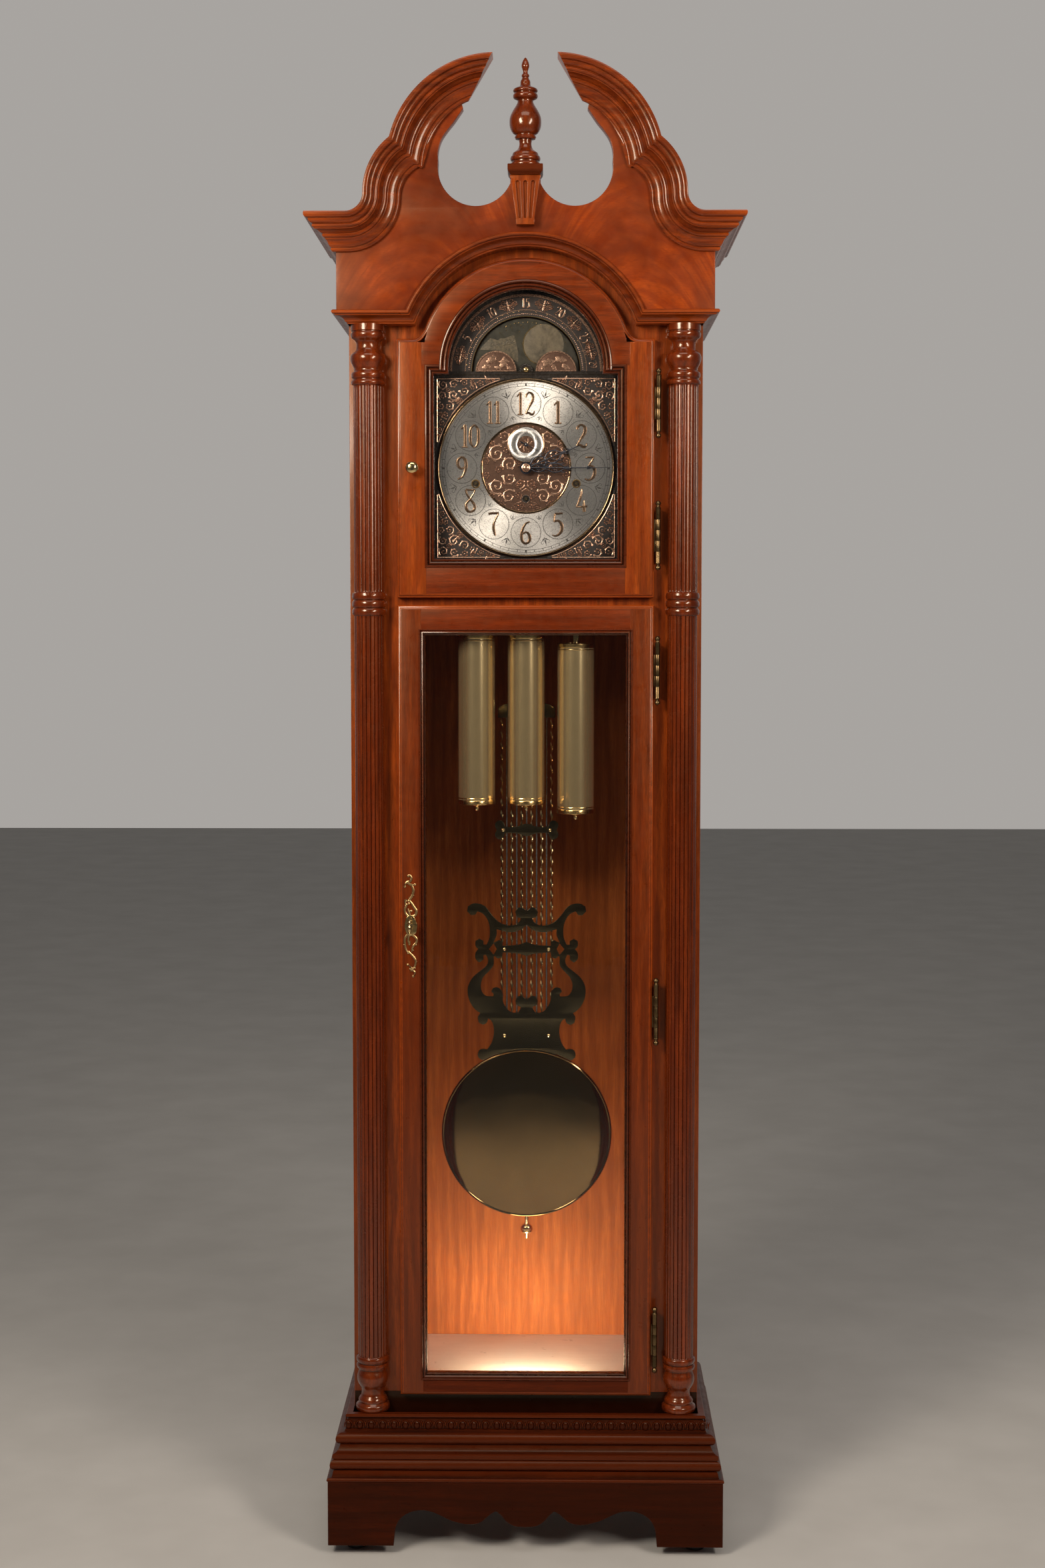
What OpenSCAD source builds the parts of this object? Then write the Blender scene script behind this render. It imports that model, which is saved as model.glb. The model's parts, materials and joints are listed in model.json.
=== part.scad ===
/* [Case] */
// Half of the width of the case, over the face frame
case_hw = 266.5; // [260:0.5:270]
// Thickness of the case side boards
side_t = 18; // [12:1:20]
// Y of the back of the case
back_y = 192.5; // [185:0.5:200]
// Thickness of the back panel
back_t = 6; // [4:1:9]
// Y of the front of the face frame
frame_y = -104; // [-105:1:-103]
// Thickness of the face frame
frame_t = 20; // [16:1:20]

/* [Base] */
// Half of the width of the base apron
apron_hw = 303; // [301:1:306]
// Height of the levelling feet under the base
foot_h = 16; // [12:1:16]
// Z of the ledge that carries the columns
ledge_z = 213.4; // [212:0.2:214]

/* [Doors] */
// Half of the width of both doors
door_hw = 193.5; // [190:0.5:194]
// Thickness of the door frames
door_t = 21.5; // [20:0.5:21.5]
// Thickness of the glass
glass_t = 4; // [3:0.5:5]
// Radius of the arched top of the upper door
door_arch_r = 162; // [158:1:164]
// Z of the centre of every arch
arch_z = 1811.7; // [1810:0.1:1813]

/* [Columns] */
// Distance of each column from the middle
col_x = 237; // [236:0.5:238]
// Radius of the reeded column shaft
shaft_r = 22.8; // [20:0.2:24]

/* [Hood and pediment] */
// Half of the width of the pediment board
hood_hw = 281.5; // [280:0.5:284]
// Projection of the cornice and swan necks
cornice_p = 43.5; // [38:0.5:46]
// Z of the top of the straight cornice
cornice_z = 2031; // [2030:1:2032]

/* [Dial and hands] */
// Half of the width of the dial plate
dial_hw = 140; // [138:1:142]
// Z of the centre of the dial
dial_z = 1664; // [1663:0.5:1665]
// Outer radius of the chapter ring
chapter_r = 131.4; // [128:0.2:133]
// Length of the minute hand
minute_len = 127.7; // [110:0.1:130]
// Length of the hour hand
hour_len = 88; // [70:1:92]

/* [Weights and pendulum] */
// Radius of each weight shell
weight_r = 29.2; // [25:0.2:30]
// Length of each weight shell
weight_len = 262; // [200:1:270]
// Radius of the pendulum bob
bob_r = 135.5; // [110:0.5:140]
// Z of the centre of the pendulum bob
bob_z = 619; // [600:1:620]

/* [Hidden] */
$fn = 64;

// Planes of the case
side_y0 = frame_y + frame_t;
side_y1 = back_y - back_t;
door_y1 = frame_y - 0.5;
door_y0 = door_y1 - door_t;
board_y0 = -149;
board_y1 = -127;
case_top = 1990;
hood_z = 1888;
under_z = 1875;
base_off = 132;
cornice_h = 53;
cornice_z0 = cornice_z - cornice_h;
// Wood and metal colours
walnut = [0.27, 0.12, 0.06];
walnut_dark = [0.2, 0.08, 0.04];
gold = [0.83, 0.62, 0.25];
silver = [0.82, 0.82, 0.8];
steel = [0.72, 0.73, 0.74];
dark = [0.07, 0.07, 0.08];

// Cornice section: fraction of projection, fraction of height, from the bottom
CORNICE = [[0, 0], [0.115, 0.03], [0.16, 0.06], [0.17, 0.11], [0.2, 0.15], [0.26, 0.18],
  [0.31, 0.24], [0.33, 0.3], [0.375, 0.36], [0.41, 0.42], [0.51, 0.47], [0.58, 0.5],
  [0.64, 0.55], [0.69, 0.58], [0.71, 0.62], [0.71, 0.69], [0.82, 0.72], [0.85, 0.78],
  [0.88, 0.82], [0.95, 0.86], [1, 0.93], [1, 1]];

// Half width of the base, and its height, from the apron's bead up to the ledge
BASE = concat([[294, 116], [apron_hw, 116], [apron_hw + 1.5, 119], [apron_hw, 122], [297, 122], [294, 132]],
  [for (a = [-90 : 22.5 : 90]) [291.5 + 8.5 * cos(a), 140.5 + 8.5 * sin(a)]],
  [[296, 149], [296, 157], [294, 158], [287, 160], [284, 170]],
  [for (a = [-90 : 22.5 : 90]) [283 + 8.5 * cos(a), 178.5 + 8.5 * sin(a)]],
  [[280, 187], [278, 190], [275, 190], [275, 205], [273.5, 206.5], [275, 208], [277, 209.5],
   [277, ledge_z - 1.5], [275.5, ledge_z]]);

// Front half of the apron's lower edge, from the foot to the middle
SCALLOP = [[202, foot_h], [199, 46], [193, 57], [185, 64], [174, 69.5], [162, 72], [152, 71.5],
  [142, 69], [130, 63.5], [119, 58], [109, 54.5], [99, 52], [90, 50.5], [81.5, 50], [72, 52],
  [64, 56], [54, 66], [45, 70.6], [41, 68], [36, 64], [31, 57.5], [25, 52], [18, 48.5], [11, 47], [0, 46]];

// Turned profile of a column, radius and height, from the ledge up
COLUMN = [[0, 213.4], [24.5, 213.4], [26.3, 216.5], [26.3, 221], [24, 224], [22, 226], [22.5, 229.5],
  [21, 233], [18.4, 237], [17.8, 243], [19, 248], [22.5, 254], [24.2, 261], [23.6, 269], [21.5, 275],
  [21, 278], [24.6, 280], [25.2, 283.5], [24.6, 287], [22.5, 288.5], [24.8, 290.5], [25.4, 294],
  [24.8, 297.5], [shaft_r, 298.7], [shaft_r, 1440.5], [25, 1441.5], [25.7, 1445.8], [25, 1450.5],
  [23.4, 1452], [25, 1453.5], [25.7, 1458], [25, 1462.5], [23.4, 1464], [25, 1465.5], [25.7, 1470],
  [25, 1474.7], [shaft_r, 1475.7], [shaft_r, 1785], [25, 1786], [25.6, 1788.5], [25, 1792],
  [22.8, 1794.5], [24.8, 1797], [25.2, 1800], [24.8, 1803], [21.6, 1806.5], [21.4, 1810],
  [24, 1815], [26.3, 1822], [26.5, 1827], [24.5, 1832], [19, 1836.5], [17.6, 1840], [17.5, 1847],
  [19.5, 1850.5], [24, 1854], [25.5, 1858], [25.5, 1875], [0, 1875]];

// Turned profile of the finial
FINIAL = [[0, 2102], [22.5, 2102], [22.5, 2106], [21, 2109], [20.4, 2111], [20, 2120], [17, 2123],
  [11, 2128], [9, 2134], [10.5, 2139], [14, 2144], [19.5, 2151], [22.8, 2159], [23.6, 2166],
  [22.6, 2174], [19, 2182], [14, 2190], [11.5, 2195], [13, 2199], [17.4, 2201.5], [18.4, 2205],
  [16.2, 2208], [18.2, 2211], [16.5, 2214], [10, 2216.5], [7.6, 2220], [7.2, 2225], [5, 2229],
  [5.6, 2233], [4.2, 2236], [3.4, 2239], [4.8, 2243], [5.9, 2247.5], [4.4, 2253], [0, 2260]];

function arc(c, r, a0, a1, n) = [for (i = [0 : n]) let (a = a0 + (a1 - a0) * i / n) [c[0] + r * cos(a), c[1] + r * sin(a)]];
function mir(p) = [for (i = [len(p) - 1 : -1 : 0]) [-p[i][0], p[i][1]]];

// Draws a flat X-Z outline and gives it thickness from y0 to y1
module slab(y0, y1) { translate([0, y1, 0]) rotate([90, 0, 0]) linear_extrude(height = y1 - y0) children(); }
module pair() { children(); mirror([1, 0, 0]) children(); }
module box(x0, x1, y0, y1, z0, z1) { translate([x0, y0, z0]) cube([x1 - x0, y1 - y0, z1 - z0]); }
// A cylinder along Y from y0 to y1
module rod_y(x, z, r, y0, y1) { translate([x, y1, z]) rotate([90, 0, 0]) cylinder(r = r, h = y1 - y0); }
module rod_x(y, z, r, x0, x1) { translate([x0, y, z]) rotate([0, 90, 0]) cylinder(r = r, h = x1 - x0); }

// A moulding that runs round the front and both sides with mitred corners
module wrap(profile, off, y_back) {
  hw = max([for (p = profile) p[0]]) + 1;
  intersection() {
    translate([0, y_back, 0]) rotate([90, 0, 0]) linear_extrude(height = y_back + hw - off)
      polygon(concat(profile, mir(profile)));
    rotate([90, 0, 90]) linear_extrude(height = 2 * hw, center = true)
      polygon(concat([for (p = profile) [off - p[0], p[1]]],
        [[y_back, profile[len(profile) - 1][1]], [y_back, profile[0][1]]]));
  }
}

module side_panels() {
  color(walnut) pair() box(case_hw - side_t, case_hw, side_y0, side_y1, 76, case_top);
}

module back_panel() {
  color(walnut_dark) difference() {
    box(-case_hw, case_hw, side_y1, back_y, 60, case_top);
    rod_y(180, 300, 7, side_y1 - 1, back_y + 1);
  }
}

module floor_board() {
  color(walnut_dark) box(-case_hw + side_t, case_hw - side_t, side_y0, side_y1, 216, 234);
}

module upper_opening(hw, z0, z1, r) {
  translate([-hw, z0]) square([2 * hw, z1 - z0]);
  intersection() {
    translate([0, arch_z]) circle(r = r, $fn = 96);
    translate([-r, z1 - 1]) square([2 * r, r * 2]);
  }
}

module face_frame() {
  color(walnut) slab(frame_y, side_y0) difference() {
    translate([-case_hw, 76]) square([2 * case_hw, case_top - 76]);
    upper_opening(158, 1490, 1812, 148);
    translate([-172, 243]) square([344, 1197]);
  }
}

module base_aprons() {
  fy = base_off - apron_hw;
  color(walnut_dark) {
    slab(fy, fy + 18) polygon(concat([[apron_hw, foot_h]], SCALLOP, mir(SCALLOP), [[-apron_hw, foot_h], [-apron_hw, 116], [apron_hw, 116]]));
    pair() difference() {
      box(apron_hw - 18, apron_hw, fy + 18, back_y, foot_h, 116);
      translate([apron_hw - 19, 0, 0]) rotate([90, 0, 90]) linear_extrude(height = 20)
        polygon([[-112, foot_h - 1], [-108, 40], [-98, 52], [-60, 60], [-20, 54], [30, 48], [80, 54],
          [120, 60], [150, 52], [158, 40], [162, foot_h - 1]]);
    }
    // corner blocks over the feet
    pair() box(240, apron_hw - 18, fy + 18, frame_y, foot_h, 60);
    pair() box(240, apron_hw - 18, 140, back_y - back_t, foot_h, 60);
  }
}

module base_moulding() {
  color(walnut_dark) difference() {
    wrap(BASE, base_off, back_y);
    box(-case_hw, case_hw, frame_y, back_y + 1, 100, 300);
    box(-case_hw + 18, case_hw - 18, frame_y - 24, back_y + 1, 100, 180);
  }
}

module egg_and_dart_strip() {
  color(walnut) difference() {
    wrap([[275, 190], [279, 190], [279.6, 197.5], [279, 205], [275, 205]], base_off, back_y);
    box(-275, 275, base_off - 275, back_y + 1, 180, 300);
  }
}

module columns() {
  color(walnut_dark) pair() intersection() {
    translate([col_x, -116, 0]) rotate_extrude() polygon(COLUMN);
    box(col_x - 40, col_x + 40, -180, frame_y, 0, 2100);
  }
}

// Outer line of the swan neck with the board's top a little below it, right half
NECK_IN = 8;
BOARD_TOP = concat(
  [[hood_hw, cornice_z]],
  arc([264, 2057], 26 + NECK_IN, -90, -180 + 5, 8),
  arc([136, 2057], 102 - NECK_IN, 0, 51, 10),
  arc([43, 2096.6], 161 - NECK_IN, 16, 66, 12));
SCROLL = concat([[92, 2187], [102, 2171.4], [115.6, 2156.3], [125.8, 2139.7], [129.6, 2119.6]],
  arc([73.5, 2101], 56, 0, -155.8, 16));

module pediment_board() {
  color(walnut) {
    slab(board_y0, board_y1) difference() {
      polygon(concat([[hood_hw, hood_z]], BOARD_TOP, SCROLL, [[22.4, 2087]],
        mir(concat([[hood_hw, hood_z]], BOARD_TOP, SCROLL, [[22.4, 2087]]))));
      translate([0, arch_z]) circle(r = 177, $fn = 120);
    }
    // filler board behind the pediment, above the upper door
    slab(board_y1, frame_y) difference() {
      translate([-case_hw, hood_z]) square([2 * case_hw, case_top - hood_z]);
      translate([0, arch_z]) circle(r = 177, $fn = 120);
    }
    // sloping soffit moulding under the pediment
    pair() rotate([90, 0, 90]) translate([0, 0, 181]) linear_extrude(height = case_hw - 181)
      polygon([[board_y0, hood_z], [-144, 1885], [-138, 1883], [-134, under_z], [frame_y, under_z], [frame_y, hood_z]]);
  }
}

module hood_box() {
  color(walnut) {
    // side boards of the hood, with a sloping lower edge
    pair() translate([0, back_y, 0]) rotate([90, 0, 0]) linear_extrude(height = back_y - board_y1)
      polygon([[case_hw, under_z], [270, under_z], [273, 1883], [278, 1885], [hood_hw, hood_z], [hood_hw, cornice_z], [case_hw, cornice_z]]);
    pair() box(case_hw, hood_hw, board_y1 - 22, board_y1, under_z + 9, hood_z);
    // top board
    box(-case_hw, case_hw, board_y1, back_y, case_top, case_top + 12);
  }
}

module arch_moulding() {
  color(walnut_dark) intersection() {
    translate([0, board_y0, arch_z]) rotate([90, 0, 0]) rotate_extrude($fn = 120)
      polygon([[177, 0], [195.6, 0], [195.6, 4], [193, 6.5], [190, 7], [187.5, 5], [183, 4.5], [180, 7], [177.8, 6.5], [177, 4.5]]);
    box(-200, 200, -170, -140, hood_z, 2100);
  }
}

// Cornice section for a turned part: inner radius r0, outer radius r1
function turned(r0, r1) = concat([for (p = CORNICE) [r0 + (r1 - r0) * p[1], cornice_p * p[0]]]);

module neck_arc(c, r0, r1, a0, a1) {
  translate([c[0], board_y0, c[1]]) rotate([90, 0, 0]) rotate([0, 0, a0])
    rotate_extrude(angle = a1 - a0, $fn = 120) polygon(concat(turned(r0, r1), [[r1, 0]]));
}

module swan_necks() {
  color(walnut_dark) pair() {
    // upper arc, cut square at the scroll end and mitred at the lower end
    intersection() {
      neck_arc([43, 2096.6], 108, 161, 5, 95);
      translate([0, -300, 0]) slab(0, 300) polygon([[47.5, 2257.5], [90, 2186], [154, 2099], [198.6, 2137.6], [260, 2190], [200, 2300]]);
    }
    intersection() {
      neck_arc([136, 2057], 49, 102, 0, 75);
      translate([0, -300, 0]) slab(0, 300) polygon([[154, 2099], [198.6, 2137.6], [260, 2190], [300, 2057], [100, 2057], [120, 2069.6]]);
    }
    neck_arc([264, 2057], 79, 26, 180, 270);
  }
}

module cornice_returns() {
  prof = [for (p = CORNICE) [hood_hw + cornice_p * p[0], cornice_z0 + cornice_h * p[1]]];
  color(walnut_dark) difference() {
    wrap(prof, hood_hw + board_y0, back_y);
    box(-hood_hw, hood_hw, board_y0, back_y + 1, 1900, 2100);
    box(-264, 264, -220, board_y0 + 1, 1900, 2100);
  }
}

module keystone() {
  color(walnut) {
    difference() {
      slab(board_y0 - 16, board_y0) polygon([[-13, 2015.5], [13, 2015.5], [23, 2087], [-23, 2087]]);
      for (x = [-10, 0, 10]) translate([x * 0.8, board_y0 - 16, 2024]) rotate([0, x * 0.45, 0]) cylinder(r = 2.4, h = 54);
    }
    slab(board_y0 - 24, board_y1 + 3) polygon([[-23, 2087], [23, 2087], [25, 2090], [26, 2094], [26, 2102], [-26, 2102], [-26, 2094], [-25, 2090]]);
  }
}

module finial() { color(walnut_dark) translate([0, -149, 0]) rotate_extrude() polygon(FINIAL); }

// Middle of each weight, and of its drum and pulley
WX = [-76.6, 0, 76.6];
WY = -54;
WZ = [1150, 1150, 1136];
DZ = [dial_z - 23.5, dial_z - 46.2, dial_z - 23.5];
line_r = 16;

module seat_board() {
  color(walnut_dark) difference() {
    box(-case_hw + side_t, case_hw - side_t, side_y0, 0, 1490, 1508);
    for (x = WX) box(x - line_r - 5, x - line_r + 5, WY - 8, WY + 8, 1480, 1520);
  }
}

module interior_lamp() {
  color([0.95, 0.9, 0.75]) {
    box(-70, 70, side_y0, -62, 234, 240);
    translate([-60, -73, 247.5]) rotate([0, 90, 0]) cylinder(r = 6, h = 120);
    box(-70, -60, -82, -64, 240, 255);
    box(60, 70, -82, -64, 240, 255);
  }
}

module cord_inlet() {
  color(dark) difference() {
    union() { rod_y(180, 300, 7, side_y1, back_y); rod_y(180, 300, 11, side_y1 - 3, side_y1); }
    rod_y(180, 300, 4, side_y1 - 10, back_y + 1);
  }
}

// Hinges: middle of each barrel, on a vertical axis beside the doors
HX = 199;
HY = -127;
HZ_UP = [1560.5, 1757.5];
HZ_LOW = [326.5, 837.5, 1357.5];

module case_leaf(z) {
  difference() {
    union() {
      for (s = [-1, 1]) translate([HX, HY, z + s * 32.2 - 7.8]) cylinder(r = 4, h = 15.6);
      translate([HX, HY, z - 7.8]) cylinder(r = 4, h = 15.6);
      for (d = [-32.2, 0, 32.2]) box(HX + 2, HX + 4, HY, frame_y, z + d - 7.8, z + d + 7.8);
      box(HX + 2, HX + 4, -118, frame_y, z - 40, z + 40);
    }
    translate([HX, HY, z - 60]) cylinder(r = 2, h = 120);
  }
  translate([HX, HY, z - 40]) cylinder(r = 2, h = 80);
  for (s = [-1, 1]) translate([HX, HY, z + s * 40]) rotate([s > 0 ? 0 : 180, 0, 0]) rotate_extrude()
    polygon([[0, 0], [4, 0], [4.4, 1.5], [3, 3], [2.6, 4.5], [4, 6.5], [4.3, 8.5], [3.2, 10.8], [0, 12.5]]);
}

module door_leaf(z) {
  difference() {
    union() {
      for (s = [-1, 1]) translate([HX, HY, z + s * 16.1 - 7.8]) cylinder(r = 4, h = 15.6);
      for (s = [-1, 1]) box(door_hw, HX - 2, HY, HY + 3, z + s * 16.1 - 7.8, z + s * 16.1 + 7.8);
      box(door_hw, door_hw + 1.1, HY, -108, z - 24, z + 24);
    }
    translate([HX, HY, z - 60]) cylinder(r = 2.05, h = 120);
  }
}

module hinge_case_leaves() { color(gold) for (z = concat(HZ_UP, HZ_LOW)) case_leaf(z); }
module upper_hinge_leaves() { color(gold) for (z = HZ_UP) door_leaf(z); }
module lower_hinge_leaves() { color(gold) for (z = HZ_LOW) door_leaf(z); }

// Planes of the dial
dial_y0 = -80;
dial_y1 = -77;
moon_z = 1810;
sec_z = dial_z + 35.7;

module dial_plate() {
  color(dark) difference() {
    union() {
      slab(dial_y0, dial_y1) difference() {
        union() {
          translate([-dial_hw, dial_z - 140]) square([2 * dial_hw, 280]);
          intersection() {
            translate([0, moon_z]) circle(r = 128, $fn = 120);
            translate([-130, moon_z - 10]) square([260, 200]);
          }
        }
        difference() {
          intersection() {
            translate([0, moon_z]) circle(r = 82, $fn = 96);
            translate([-90, moon_z]) square([180, 90]);
          }
          translate([-44, moon_z]) circle(r = 29);
          translate([44, moon_z]) circle(r = 29);
          translate([0, moon_z]) circle(r = 6);
        }
      }
      rod_y(0, moon_z, 1.95, dial_y1, -68);
    }
    rod_y(0, dial_z, 6.5, -90, -70);
    rod_y(0, sec_z, 2.5, -90, -70);
    for (i = [0 : 2]) rod_y(WX[i], DZ[i], 5, -90, -70);
  }
}

module chapter_ring() {
  color(silver) {
    difference() {
      union() {
        rod_y(0, dial_z, chapter_r, -83, dial_y0);
        for (h = [1 : 12]) rod_y(97.4 * sin(h * 30), dial_z + 97.4 * cos(h * 30), 22.9, -83.8, -82.5);
      }
      rod_y(0, dial_z, 68.9, -90, -70);
      // winding holes that cut the inner edge of the ring
      for (i = [0, 2]) rod_y(WX[i], DZ[i], 6, -90, -70);
    }
    difference() {
      rod_y(0, sec_z, 26.2, -83, -81.2);
      rod_y(0, sec_z, 13.2, -90, -70);
    }
  }
}

module dial_castings() {
  color([0.62, 0.36, 0.2]) {
    // centre field
    difference() {
      rod_y(0, dial_z, 66, -81.2, dial_y0);
      rod_y(0, dial_z, 6.5, -90, -70);
      rod_y(0, sec_z, 2.5, -90, -70);
      rod_y(0, DZ[1], 6, -90, -70);
    }
    // corner spandrels
    slab(-82.4, dial_y0) difference() {
      translate([-136, dial_z - 136]) square([272, 272]);
      translate([0, dial_z]) circle(r = 134, $fn = 120);
      translate([-136, dial_z - 84]) square([272, 168]);
      translate([-84, dial_z - 137]) square([168, 274]);
    }
    // ring round the moon window
    slab(-82, dial_y0) difference() {
      intersection() {
        translate([0, moon_z]) circle(r = 116, $fn = 120);
        translate([-120, moon_z]) square([240, 120]);
      }
      translate([0, moon_z]) circle(r = 84, $fn = 96);
    }
  }
}

// Arbor of the third wheel, and of the anchor
c1 = 0.8 * 85 / 2;
c2 = 0.8 * 90 / 2;
t_dz = (35.7 * 35.7 + c1 * c1 - c2 * c2) / (2 * 35.7);
t_x = sqrt(c1 * c1 - t_dz * t_dz);
t_z = dial_z + t_dz;
anchor_z = dial_z + 58;

module movement_plates() {
  color(gold) difference() {
    union() {
      for (y = [-62, -12]) box(-108, 108, y, y + 3, 1508, 1752);
      for (x = [-101.5, 101.5], z = [1522, 1740]) rod_y(x, z, 5, -59, -12);
      for (x = [-100, 100], z = [1545, 1745]) rod_y(x, z, 3, dial_y1, -62);
      // suspension cock and its spring
      box(-8, 8, -9, 16, 1730, 1738);
      box(-0.25, 0.25, 4, 12, anchor_z + 1, 1730);
    }
    rod_y(0, dial_z, 2.05, -70, 0);
    rod_y(0, sec_z, 1.55, -70, 0);
    rod_y(t_x, t_z, 1.55, -70, 0);
    rod_y(0, anchor_z, 2.05, -70, 0);
    for (i = [0 : 2]) rod_y(WX[i], DZ[i], 2.55, -70, 0);
  }
}

// Involute gear outline: n teeth of module m, turned by rot degrees
function inv_a(r, rb) = r <= rb ? 0 : let (t = sqrt(r * r / (rb * rb) - 1)) (t * 180 / PI - atan(t));
function gear(n, m, rot, back = 0.2) = let (
    r = n * m / 2, pa = 25, rb = r * cos(pa), rt = r + 0.8 * m, rr = r - 1.05 * m,
    half = 90 / n - back / 2 / r * 180 / PI / 2 + inv_a(r, rb),
    rs = [rr, max(rb, rr + 0.01), max(r, rb), rt - 0.01, rt])
  [for (i = [0 : n - 1]) let (c = rot + i * 360 / n)
    each concat([for (k = [0 : 4]) let (a = c - (half - inv_a(rs[k], rb))) if (k != 3) [rs[k] * cos(a), rs[k] * sin(a)]],
      [for (k = [4 : -1 : 0]) let (a = c + (half - inv_a(rs[k], rb))) if (k != 3) [rs[k] * cos(a), rs[k] * sin(a)]])];

module wheel(x, z, n, m, rot, y0, y1, bore, spokes) {
  translate([x, 0, z]) slab(y0, y1) difference() {
    polygon(gear(n, m, rot));
    circle(r = bore);
    if (spokes) difference() {
      circle(r = n * m / 2 - 4.5);
      circle(r = 6);
      for (a = [0 : 90 : 359]) rotate(a) translate([0, -1.5]) square([n, 3]);
    }
  }
}

// Direction from the centre arbor to the third arbor, and from the third to the escape arbor
f1 = atan2(t_dz, t_x);
f2 = atan2(sec_z - t_z, -t_x);
rot_p3 = f1 + 180 + 180 / 10 - (0 - f1) * 75 / 10;
rot_w3 = 0;
rot_pe = f2 + 180 + 180 / 10 - (rot_w3 - f2) * 80 / 10;

module center_wheel() { color(gold) wheel(0, dial_z, 75, 0.8, 0, -18, -16, 2, true); }

module third_wheel() {
  color(gold) {
    rod_y(t_x, t_z, 1.5, -61.5, -9.5);
    difference() {
      union() {
        wheel(t_x, t_z, 10, 0.8, rot_p3, -21, -14, 1.5, false);
        wheel(t_x, t_z, 80, 0.8, rot_w3, -26, -24, 1.5, true);
        rod_y(t_x, t_z, 3, -24, -21);
      }
      rod_y(t_x, t_z, 1.5, -61.5, -9.5);
    }
  }
}

module escape_wheel() {
  color(gold) {
    wheel(0, sec_z, 10, 0.8, rot_pe, -28, -22, 1.5, false);
    translate([0, 0, sec_z]) slab(-33, -31.5) difference() {
      polygon([for (i = [0 : 29]) each [[12.4 * cos(i * 12), 12.4 * sin(i * 12)], [15 * cos(i * 12 + 5), 15 * sin(i * 12 + 5)],
        [15 * cos(i * 12 + 6), 15 * sin(i * 12 + 6)], [12.4 * cos(i * 12 + 7.5), 12.4 * sin(i * 12 + 7.5)]]]);
      circle(r = 1.5);
    }
    difference() { rod_y(0, sec_z, 3, -31.5, -28); rod_y(0, sec_z, 1.5, -40, -20); }
  }
}

module pallet_anchor() {
  color(steel) {
    rod_y(0, anchor_z, 2, -61.5, -5);
    difference() {
      translate([0, 0, anchor_z]) slab(-34, -30.5) polygon([[-4, 3], [4, 3], [12, -3], [19, -12], [18.2, -14.6], [15.4, -12.2], [9, -4.6], [3, -2.6],
        [-3, -2.6], [-9, -4.6], [-15.4, -12.2], [-18.2, -14.6], [-19, -12], [-12, -3]]);
      rod_y(0, anchor_z, 1.99, -36, -30);
    }
    // crutch and its fork
    box(-2.5, 2.5, -7, -5, dial_z - 15, anchor_z + 3);
    pair() box(3.4, 5.4, -7, 14, dial_z - 21, dial_z - 15);
    box(-5.4, 5.4, -7, -5, dial_z - 21, dial_z - 15);
  }
}

module hand_tip(l, w) {
  polygon([[-w * 0.4, 6], [-w * 0.4, l * 0.35], [-w, l * 0.45], [-w * 1.15, l * 0.55], [-w * 0.35, l * 0.7], [-w * 0.28, l * 0.86], [0, l],
    [w * 0.28, l * 0.86], [w * 0.35, l * 0.7], [w * 1.15, l * 0.55], [w, l * 0.45], [w * 0.4, l * 0.35], [w * 0.4, 6]]);
}

module hour_hand() {
  color(dark) difference() {
    union() {
      translate([0, 0, dial_z]) rotate([0, 67.5, 0]) slab(-90, -88.5) union() { circle(r = 9); hand_tip(hour_len, 8); }
      rod_y(0, dial_z, 5.6, -89.5, -64);
    }
    rod_y(0, dial_z, 4.06, -100, -60);
  }
}

module minute_hand() {
  color(dark) {
    difference() {
      translate([0, 0, dial_z]) rotate([0, 90, 0]) slab(-94, -92.5) union() { circle(r = 7.5); hand_tip(minute_len, 6); }
      rod_y(0, dial_z, 3.9, -100, -60);
    }
    rod_y(0, dial_z, 4, -95.5, -63);
    // arbor, with a neck that clears the third wheel
    rod_y(0, dial_z, 2, -98, -27.5);
    rod_y(0, dial_z, 1.1, -27.5, -22.5);
    rod_y(0, dial_z, 2, -22.5, -9.5);
    rod_y(0, dial_z, 6, -97.5, -95);
  }
}

module second_hand() {
  color(dark) {
    translate([0, 0, sec_z]) rotate([0, 117, 0]) slab(-86, -85) union() {
      circle(r = 3);
      polygon([[-0.9, -10], [0.9, -10], [0.5, 22.5], [-0.5, 22.5]]);
    }
    rod_y(0, sec_z, 1.5, -86.5, -9.5);
  }
}

module moon_disc() {
  color([0.1, 0.16, 0.35]) difference() {
    union() {
      rod_y(0, moon_z, 80, -75.5, -74);
      rod_y(0, moon_z, 5, -74, -69);
    }
    rod_y(0, moon_z, 2, -80, -60);
  }
}

module drum(i) {
  color(gold) {
    rod_y(WX[i], DZ[i], line_r - 1, -56, -41);
    rod_y(WX[i], DZ[i], 19, -57.5, -56);
    rod_y(WX[i], DZ[i], 19, -41, -39.5);
    rod_y(WX[i], DZ[i], 24, -38, -35.5);
    rod_y(WX[i], DZ[i], 6, -39.5, -38);
    rod_y(WX[i], DZ[i], 2.5, -76, -9.5);
    translate([WX[i], 0, DZ[i]]) slab(-86, -76) square([3.4, 3.4], center = true);
  }
}
module drum_left() { drum(0); }
module drum_center() { drum(1); }
module drum_right() { drum(2); }

// Height of each pulley's axle over its weight
function pz(i) = WZ[i] + weight_len + 32;

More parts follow.
